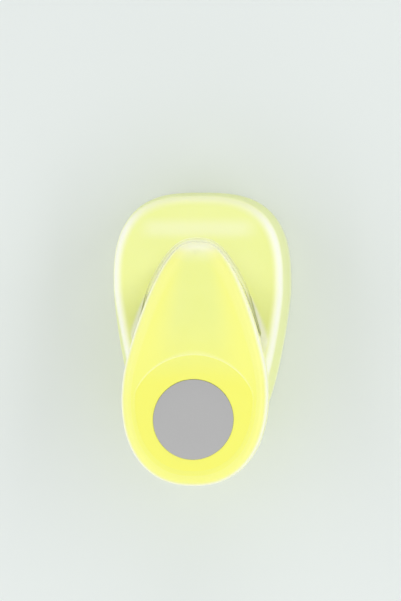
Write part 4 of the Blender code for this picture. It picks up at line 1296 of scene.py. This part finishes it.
def tray_rings(sizes):
    """Rings of the tray from the chad hole outward, up the wall and back inside."""
    edge = sizes.foot_edge
    base = spokes(body_outline(edge), (0.0, PUNCH_Y))
    rings = Rings()

    def round_ring(radius_rule, z, paleness=0.0):
        points = [(ux * radius_rule(reach), PUNCH_Y + uy * radius_rule(reach), z) for (ux, uy), reach in base]
        rings.add(points, paleness)

    # Painted highlight round the chad hole's edge, and on the groove and rounded edges below
    for out, z, tint in (
        (0.0, SEAT_HIGH, 0.0),
        (0.0, CHAD_EDGE, 0.3),
        (CHAD_EDGE / 4.0, CHAD_EDGE / 4.0, 0.4),
        (CHAD_EDGE, 0.0, 0.3),
    ):
        round_ring(lambda reach: CHAD_RADIUS + out, z, tint)
    for share in (0.2, 0.4, 0.6, 0.8):
        round_ring(lambda reach: CHAD_RADIUS + (reach - GROOVE_IN - CHAD_RADIUS) * share, 0.0)
    for inset, z in (
        (GROOVE_IN, 0.0),
        (GROOVE_IN - GROOVE_SLOPE, GROOVE_DEPTH),
        (GROOVE_OUT + GROOVE_SLOPE, GROOVE_DEPTH),
        (GROOVE_OUT, 0.0),
    ):
        rings.along(body_outline(inset), lambda y: z, GROOVE_TINT)
    for up, inward in quarter_round(ROUND_STEPS):
        rings.along(stepped_outline(edge * inward), lambda y: edge * up, TRAY_TINT)
    for inset, drop in rounded_end(TRAY_WALL, TRAY_LIP):
        rings.along(stepped_outline(inset), lambda y: tray_rim(y) - drop, TRAY_TINT)
    rings.along(stepped_outline(TRAY_WALL), lambda y: TRAY_FLOOR)
    for z in (TRAY_FLOOR, SEAT_HIGH):
        round_ring(lambda reach: SEAT_RADIUS, z)
    rings.add(rings.points[0])
    return rings


class PUNCH_OT_tray(bpy.types.Operator):
    """Model the base tray with its chad hole, seat ring and screw recesses"""

    bl_idname = "punch.tray"
    bl_label = "Base tray"

    def execute(self, context):
        rings = tray_rings(context.scene.punch_sizes)
        tray = loft("tray_shell", rings.points, rings.paleness, joined=True)
        for group, high in (("die_screw", SEAT_HIGH), ("housing_screw", TRAY_RIM)):
            for node in numbered(group):
                self.recess(tray, node_centre(node)[:2], high)
        seat(tray, "tray_shell", "chassis", "case_plastic", "base_tray")
        return {"FINISHED"}

    def recess(self, tray, place, high):
        """A pillar with a screw hole and a recess for the head."""
        radius, bore = RECESS_RADIUS + RECESS_WALL, SCREW_RADIUS + FIT_GAP
        pillar = [(radius, TRAY_FLOOR - UNION_OVERLAP), (radius, high)]
        combine(tray, turned("pillar", pillar, place, SMALL_POINTS), "UNION")
        profile = [
            (RECESS_RADIUS + RECESS_RIM + CUT_OVERRUN, -CUT_OVERRUN),
            (RECESS_RADIUS + RECESS_RIM, 0.0),
            (RECESS_RADIUS, RECESS_RIM),
            (RECESS_RADIUS, RECESS_DEPTH),
            (bore, RECESS_DEPTH),
            (bore, high + CUT_OVERRUN),
        ]
        combine(tray, turned("recess", profile, place, SMALL_POINTS))


# Steel works


def fine_plate(name, node, hole):
    """A steel plate that follows the body outline, with a smooth round hole."""
    low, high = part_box(node)
    outline = [(x, max(y, low[1])) for x, y in body_outline(BODY_HALF_WIDTH - high[0])]
    aims = spokes(outline, (0.0, PUNCH_Y))
    # Share of the way out, shift and distance from the face
    side = [
        (0.0, 0.0, PLATE_EDGE),
        (0.0, PLATE_EDGE, 0.0),
        (0.5, 0.0, 0.0),
        (1.0, -PLATE_EDGE, 0.0),
        (1.0, 0.0, PLATE_EDGE),
    ]
    levels = [(out, shift, high[2] - down) for out, shift, down in side]
    levels += [(out, shift, low[2] + up) for out, shift, up in reversed(side)]
    rings = []
    for out, shift, z in levels[-1:] + levels:
        radii = [hole + (reach - hole) * out + shift for _, reach in aims]
        rings.append([(ux * radius, PUNCH_Y + uy * radius, z) for ((ux, uy), _), radius in zip(aims, radii)])
    return loft(name, rings, joined=True)


def drilled(plate, nodes, radius=SCREW_RADIUS + FIT_GAP):
    """Cut a round hole through a plate for each named node."""
    for node in nodes:
        profile = [(radius, -CUT_OVERRUN), (radius, DRILL_HIGH)]
        combine(plate, turned("drill", profile, node_centre(node)[:2], BORE_POINTS))
    return plate


class PUNCH_OT_plates(bpy.types.Operator):
    """Model the die plate, the guide plate and the spacer between them"""

    bl_idname = "punch.plates"
    bl_label = "Die and guide plates"

    def execute(self, context):
        die = fine_plate("die_ring", "die_plate", PUNCH_RADIUS + FIT_GAP)
        drilled(drilled(die, numbered("die_rivet"), RIVET_HOLE), numbered("die_screw"))
        seat(die, "die_ring", "chassis", "tool_steel", "die_plate")
        for node, slot in (("guide_plate", "tool_steel"), ("throat_spacer", "dark_steel")):
            dressed_copy(node, "chassis", slot, PLATE_BEVEL, 1)
        return {"FINISHED"}


class PUNCH_OT_cutter(bpy.types.Operator):
    """Model the hollow round cutter with its ground rim"""

    bl_idname = "punch.cutter"
    bl_label = "Cutter"

    def execute(self, context):
        low, high = (corner[2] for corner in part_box("punch_cutter"))
        inner, middle = PUNCH_RADIUS - CUTTER_WALL, PUNCH_RADIUS * 0.4
        ceiling = high - CUTTER_TOP
        profile = [
            (middle, high),
            (PUNCH_RADIUS - CUTTER_EDGE, high),
            (PUNCH_RADIUS, high - CUTTER_EDGE),
            (PUNCH_RADIUS, low + CUTTER_WALL),
            (PUNCH_RADIUS, low),
            (PUNCH_RADIUS - CUTTER_LAND, low),
            (inner + CUTTER_RELIEF, low + CUTTER_GRIND),
            (inner, low + CUTTER_GRIND * 1.5),
            (inner, ceiling - CUTTER_EDGE),
            (inner - CUTTER_EDGE, ceiling),
            (middle, ceiling),
        ]
        cutter = turned("cutter_ring", profile, (0.0, PUNCH_Y), CUTTER_POINTS)
        drilled(cutter, numbered("yoke_screw"))
        seat(cutter, "cutter_ring", "punch", "tool_steel", "punch_cutter")
        return {"FINISHED"}


def grooved_end(radius, groove, end, clip, axis):
    """Turning profile from an end face past the groove of a clip."""
    play = FIT_GAP / 2.0
    low, high = (corner[axis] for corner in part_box(clip))
    return [
        (radius * FACE_SHARE, end),
        (radius, end),
        (radius, high + play),
        (groove, high + play),
        (groove, low - play),
        (radius, low - play),
    ]


class PUNCH_OT_hinge(bpy.types.Operator):
    """Dress the yoke and the hinge brackets, and turn the pivot pin and the guide posts"""

    bl_idname = "punch.hinge"
    bl_label = "Yoke, hinge and posts"

    def execute(self, context):
        edge = context.scene.punch_sizes.metal_edge
        dressed_copy("punch_yoke", "punch", "dark_steel", edge)
        for side in ("left", "right"):
            dressed_copy(f"hinge_bracket_{side}", "chassis", "dark_steel", edge)
        self.pin()
        for side in ("left", "right"):
            self.post(side)
        return {"FINISHED"}

    def pin(self):
        """A pin with a groove near each end."""
        half = grooved_end(PIN_RADIUS, GROOVE_RADIUS["pin"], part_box("pivot_pin")[1][0], "pin_clip_right", 0)
        pin = turned("pin", chamfered(half + [(radius, -x) for radius, x in reversed(half)]))
        laid_along_x(pin, (0.0, PIVOT_Y, PIVOT_Z))
        seat(pin, "pivot_pin_turned", "chassis", "pin_steel", "pivot_pin")

    def post(self, side):
        """A shouldered post with a groove for its clip."""
        node = f"guide_post_{side}"
        low, high = (corner[2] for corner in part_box(node))
        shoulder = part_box("guide_plate")[1][2] + FIT_GAP
        profile = grooved_end(POST_RADIUS, GROOVE_RADIUS["post"], high, f"post_clip_{side}", 2)
        profile += [(POST_RADIUS, shoulder), (POST_SPIGOT, shoulder)]
        profile += [(POST_SPIGOT, low), (POST_SPIGOT * FACE_SHARE, low)]
        post = turned("post", chamfered(profile), node_centre(node)[:2])
        seat(post, f"{node}_turned", "chassis", "pin_steel", node)


class PUNCH_OT_springs(bpy.types.Operator):
    """Wind the two return springs round the guide posts"""

    bl_idname = "punch.springs"
    bl_label = "Return springs"

    def execute(self, context):
        for side in ("left", "right"):
            node = f"return_spring_{side}"
            low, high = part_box(node)
            middle = node_centre(f"guide_post_{side}")
            radius = high[0] - middle[0] - WIRE_RADIUS
            line = self.wire(node, middle, radius, low[2], high[2], context.scene.punch_sizes.coil_points)
            seat(line, f"{node}_coil", "chassis", "spring_steel", node)
            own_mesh(line)
        return {"FINISHED"}

    def wire(self, name, middle, radius, low, high, per_turn):
        """A round wire on a rising coil, closed at both ends."""
        steps = COIL_TURNS * per_turn
        data = bpy.data.curves.new(name, "CURVE")
        data.dimensions = "3D"
        data.bevel_depth = WIRE_RADIUS
        data.bevel_resolution = 3
        data.use_fill_caps = True
        line = data.splines.new("POLY")
        line.points.add(steps)
        places = arc(middle, radius, 0.0, 2.0 * math.pi * COIL_TURNS, steps)
        for step, (point, (x, y)) in enumerate(zip(line.points, places)):
            z = low + WIRE_RADIUS + (high - low - 2.0 * WIRE_RADIUS) * step / steps
            point.co = (x, y, z, 1.0)
        made = bpy.data.objects.new(name, data)
        bpy.context.collection.objects.link(made)
        only(made)
        bpy.ops.object.convert(target="MESH")
        return bpy.context.active_object


# Fasteners


def screw_blank(face, tip):
    """A pan head screw with a cross recess, about the origin's vertical axis."""
    sign = math.copysign(1.0, tip - face)
    seat_z = face + sign * HEAD_HEIGHT
    profile = [(HEAD_RADIUS * out, face + sign * HEAD_HEIGHT * down) for out, down in HEAD_DOME]
    profile.append((SCREW_RADIUS, seat_z))
    run = abs(tip - seat_z) - THREAD_END
    count = max(1, int(run / THREAD_PITCH))
    for number in range(count):
        start = seat_z + sign * (THREAD_START + run * number / count)
        profile += [(SCREW_RADIUS, start), (SCREW_RADIUS * THREAD_ROOT, start + sign * run / count * 0.5)]
    profile += [(SCREW_RADIUS, tip - sign * TIP_LENGTH), (SCREW_RADIUS * TIP_SHARE, tip)]
    made = turned("screw", profile, count=SMALL_POINTS)
    levels = ((1.0, face - sign * CUT_OVERRUN), (1.0, face), (CROSS_TAPER, face + sign * CROSS_DEPTH))
    for half_x, half_y in ((CROSS_REACH, CROSS_WIDTH / 2.0), (CROSS_WIDTH / 2.0, CROSS_REACH)):
        corners = [(half_x, half_y), (-half_x, half_y), (-half_x, -half_y), (half_x, -half_y)]
        combine(made, loft("cross", [[(x * share, y * share, z) for x, y in corners] for share, z in levels]))
    return made


def clip_blank(groove_radius):
    """A flat snap ring with a mouth, lying about Z from zero height upward."""
    inner = groove_radius + FIT_GAP
    start, end = CLIP_MOUTH / 2.0, 2.0 * math.pi - CLIP_MOUTH / 2.0
    points = arc((0.0, 0.0), inner + CLIP_WIDTH, start, end, CLIP_STEPS)
    points += arc((0.0, 0.0), inner, end, start, CLIP_STEPS)
    return bevel_edges(prism("clip", points, 0.0, CLIP_THICKNESS), CLIP_BEVEL, angle=math.radians(50.0))


class PUNCH_OT_fasteners(bpy.types.Operator):
    """Model the plated screws, the rivets and the snap rings"""

    bl_idname = "punch.fasteners"
    bl_label = "Screws, rivets and clips"

    # Group, count, body and whether the heads point down
    screws = (
        ("housing_screw", 4, "chassis", True),
        ("die_screw", 4, "chassis", True),
        ("yoke_screw", 4, "punch", False),
        ("bracket_screw_left", 2, "chassis", False),
        ("bracket_screw_right", 2, "chassis", False),
    )

    def execute(self, context):
        for group, count, body, head_down in self.screws:
            nodes = numbered(group, count)
            low, high = (corner[2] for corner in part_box(nodes[0]))
            blank = screw_blank(low, high) if head_down else screw_blank(high, low)
            seat_copies(blank, nodes, "cross", body, "zinc_screw")
        self.rivets()
        self.clips()
        return {"FINISHED"}

    def rivets(self):
        """Rivets with a domed head at each end."""
        low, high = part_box("die_rivet_1")
        head = (high[0] - low[0]) / 2.0
        dome = [(head * math.cos(t), math.sin(t) * RIVET_RISE) for t in (0.0, 0.35, 0.7, 1.05, 1.35)]
        upper, lower = high[2] - RIVET_RISE, low[2] + RIVET_RISE
        profile = [(radius, upper + z) for radius, z in reversed(dome)]
        profile += [(RIVET_RADIUS, upper), (RIVET_RADIUS, lower)]
        profile += [(radius, lower - z) for radius, z in dome]
        blank = turned("rivet", profile, count=SMALL_POINTS)
        seat_copies(blank, numbered("die_rivet"), "domed", "chassis", "pin_steel")

    def clips(self):
        """A snap ring on each post and on each end of the pin."""
        for side in ("left", "right"):
            x, y, _ = node_centre(f"guide_post_{side}")
            ring = clip_blank(GROOVE_RADIUS["post"])
            ring.data.transform(Matrix.Translation((x, y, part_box(f"post_clip_{side}")[0][2])))
            seat(ring, f"post_clip_{side}_ring", "chassis", "spring_steel", f"post_clip_{side}")
            place = (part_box(f"pin_clip_{side}")[0][0], PIVOT_Y, PIVOT_Z)
            ring = laid_along_x(clip_blank(GROOVE_RADIUS["pin"]), place)
            seat(ring, f"pin_clip_{side}_ring", "chassis", "spring_steel", f"pin_clip_{side}")


# Studio


class PUNCH_OT_stage(bpy.types.Operator):
    """Set up the floor, the soft lamps and the camera"""

    bl_idname = "punch.stage"
    bl_label = "Plain studio"

    def execute(self, context):
        settings = context.scene.punch_studio
        self.floor()
        for name, (place, size) in LAMPS.items():
            self.lamp(name, place, size, getattr(settings, f"{name}_power"))
        self.room(settings.world_strength)
        self.camera(context, settings)
        context.scene.view_settings.view_transform = "Standard"
        return {"FINISHED"}

    def floor(self):
        nothing_selected()
        place = (0.0, 0.0, FLOOR_Z)
        bpy.ops.mesh.primitive_grid_add(x_subdivisions=2, y_subdivisions=2, size=FLOOR_SIZE, location=place)
        floor = bpy.context.active_object
        floor.name = "studio_floor"
        bpy.ops.object.transform_apply(location=True, rotation=True, scale=True)
        floor.data.materials.append(finish_of("studio_floor"))

    def lamp(self, name, place, size, power):
        light = bpy.data.lights.new(name, "AREA")
        light.shape = "RECTANGLE"
        light.size, light.size_y = size
        light.energy = power
        lamp = bpy.data.objects.new(name, light)
        lamp.location = place
        lamp.rotation_euler = (LAMP_AIM - Vector(place)).to_track_quat("-Z", "Y").to_euler()
        bpy.context.collection.objects.link(lamp)

    def room(self, strength):
        world = bpy.data.worlds.new("studio_room")
        world.use_nodes = True
        shade = next(node for node in world.node_tree.nodes if node.type == "BACKGROUND")
        shade.inputs["Color"].default_value = (1.0, 1.0, 1.0, 1.0)
        shade.inputs["Strength"].default_value = strength
        bpy.context.scene.world = world

    def camera(self, context, settings):
        data = bpy.data.cameras.new("camera")
        data.sensor_fit = "VERTICAL"
        data.sensor_height = 36.0
        data.lens = settings.lens
        camera = bpy.data.objects.new("camera", data)
        place = Vector((settings.camera_x, settings.aim_y, settings.camera_height))
        back = (place - Vector((CAMERA_AIM_X, settings.aim_y, 0.0))).normalized()
        right = Vector((0.0, 1.0, 0.0)).cross(back).normalized()
        turn = Matrix((right, back.cross(right), back)).transposed().to_4x4()
        camera.matrix_world = Matrix.Translation(place) @ turn @ Matrix.Rotation(settings.roll, 4, "Z")
        context.collection.objects.link(camera)
        context.scene.camera = camera


class PUNCH_PT_panel(bpy.types.Panel):
    """Lists the punch's pieces and its studio"""

    bl_label = "Circle punch"
    bl_idname = "PUNCH_PT_panel"
    bl_space_type = "VIEW_3D"
    bl_region_type = "UI"
    bl_category = "Punch"

    def draw(self, context):
        for step in STEPS:
            self.layout.operator(step.bl_idname, text=step.bl_label)


STEPS = (
    PUNCH_OT_stage,
    PUNCH_OT_lever,
    PUNCH_OT_disc,
    PUNCH_OT_cover,
    PUNCH_OT_tray,
    PUNCH_OT_plates,
    PUNCH_OT_cutter,
    PUNCH_OT_hinge,
    PUNCH_OT_springs,
    PUNCH_OT_fasteners,
)
CLASSES = (PunchSizes, PunchColours, StudioSettings, *STEPS, PUNCH_PT_panel)


def register():
    for item in CLASSES:
        bpy.utils.register_class(item)
    bpy.types.Scene.punch_sizes = PointerProperty(type=PunchSizes)
    bpy.types.Scene.punch_colours = PointerProperty(type=PunchColours)
    bpy.types.Scene.punch_studio = PointerProperty(type=StudioSettings)


def unregister():
    del bpy.types.Scene.punch_studio
    del bpy.types.Scene.punch_colours
    del bpy.types.Scene.punch_sizes
    for item in reversed(CLASSES):
        bpy.utils.unregister_class(item)


def main():
    """Dress the frame."""
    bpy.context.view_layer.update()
    register()
    for step in STEPS:
        group, name = step.bl_idname.split(".")
        getattr(getattr(bpy.ops, group), name)()
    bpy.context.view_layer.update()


if __name__ == "__main__":
    main()
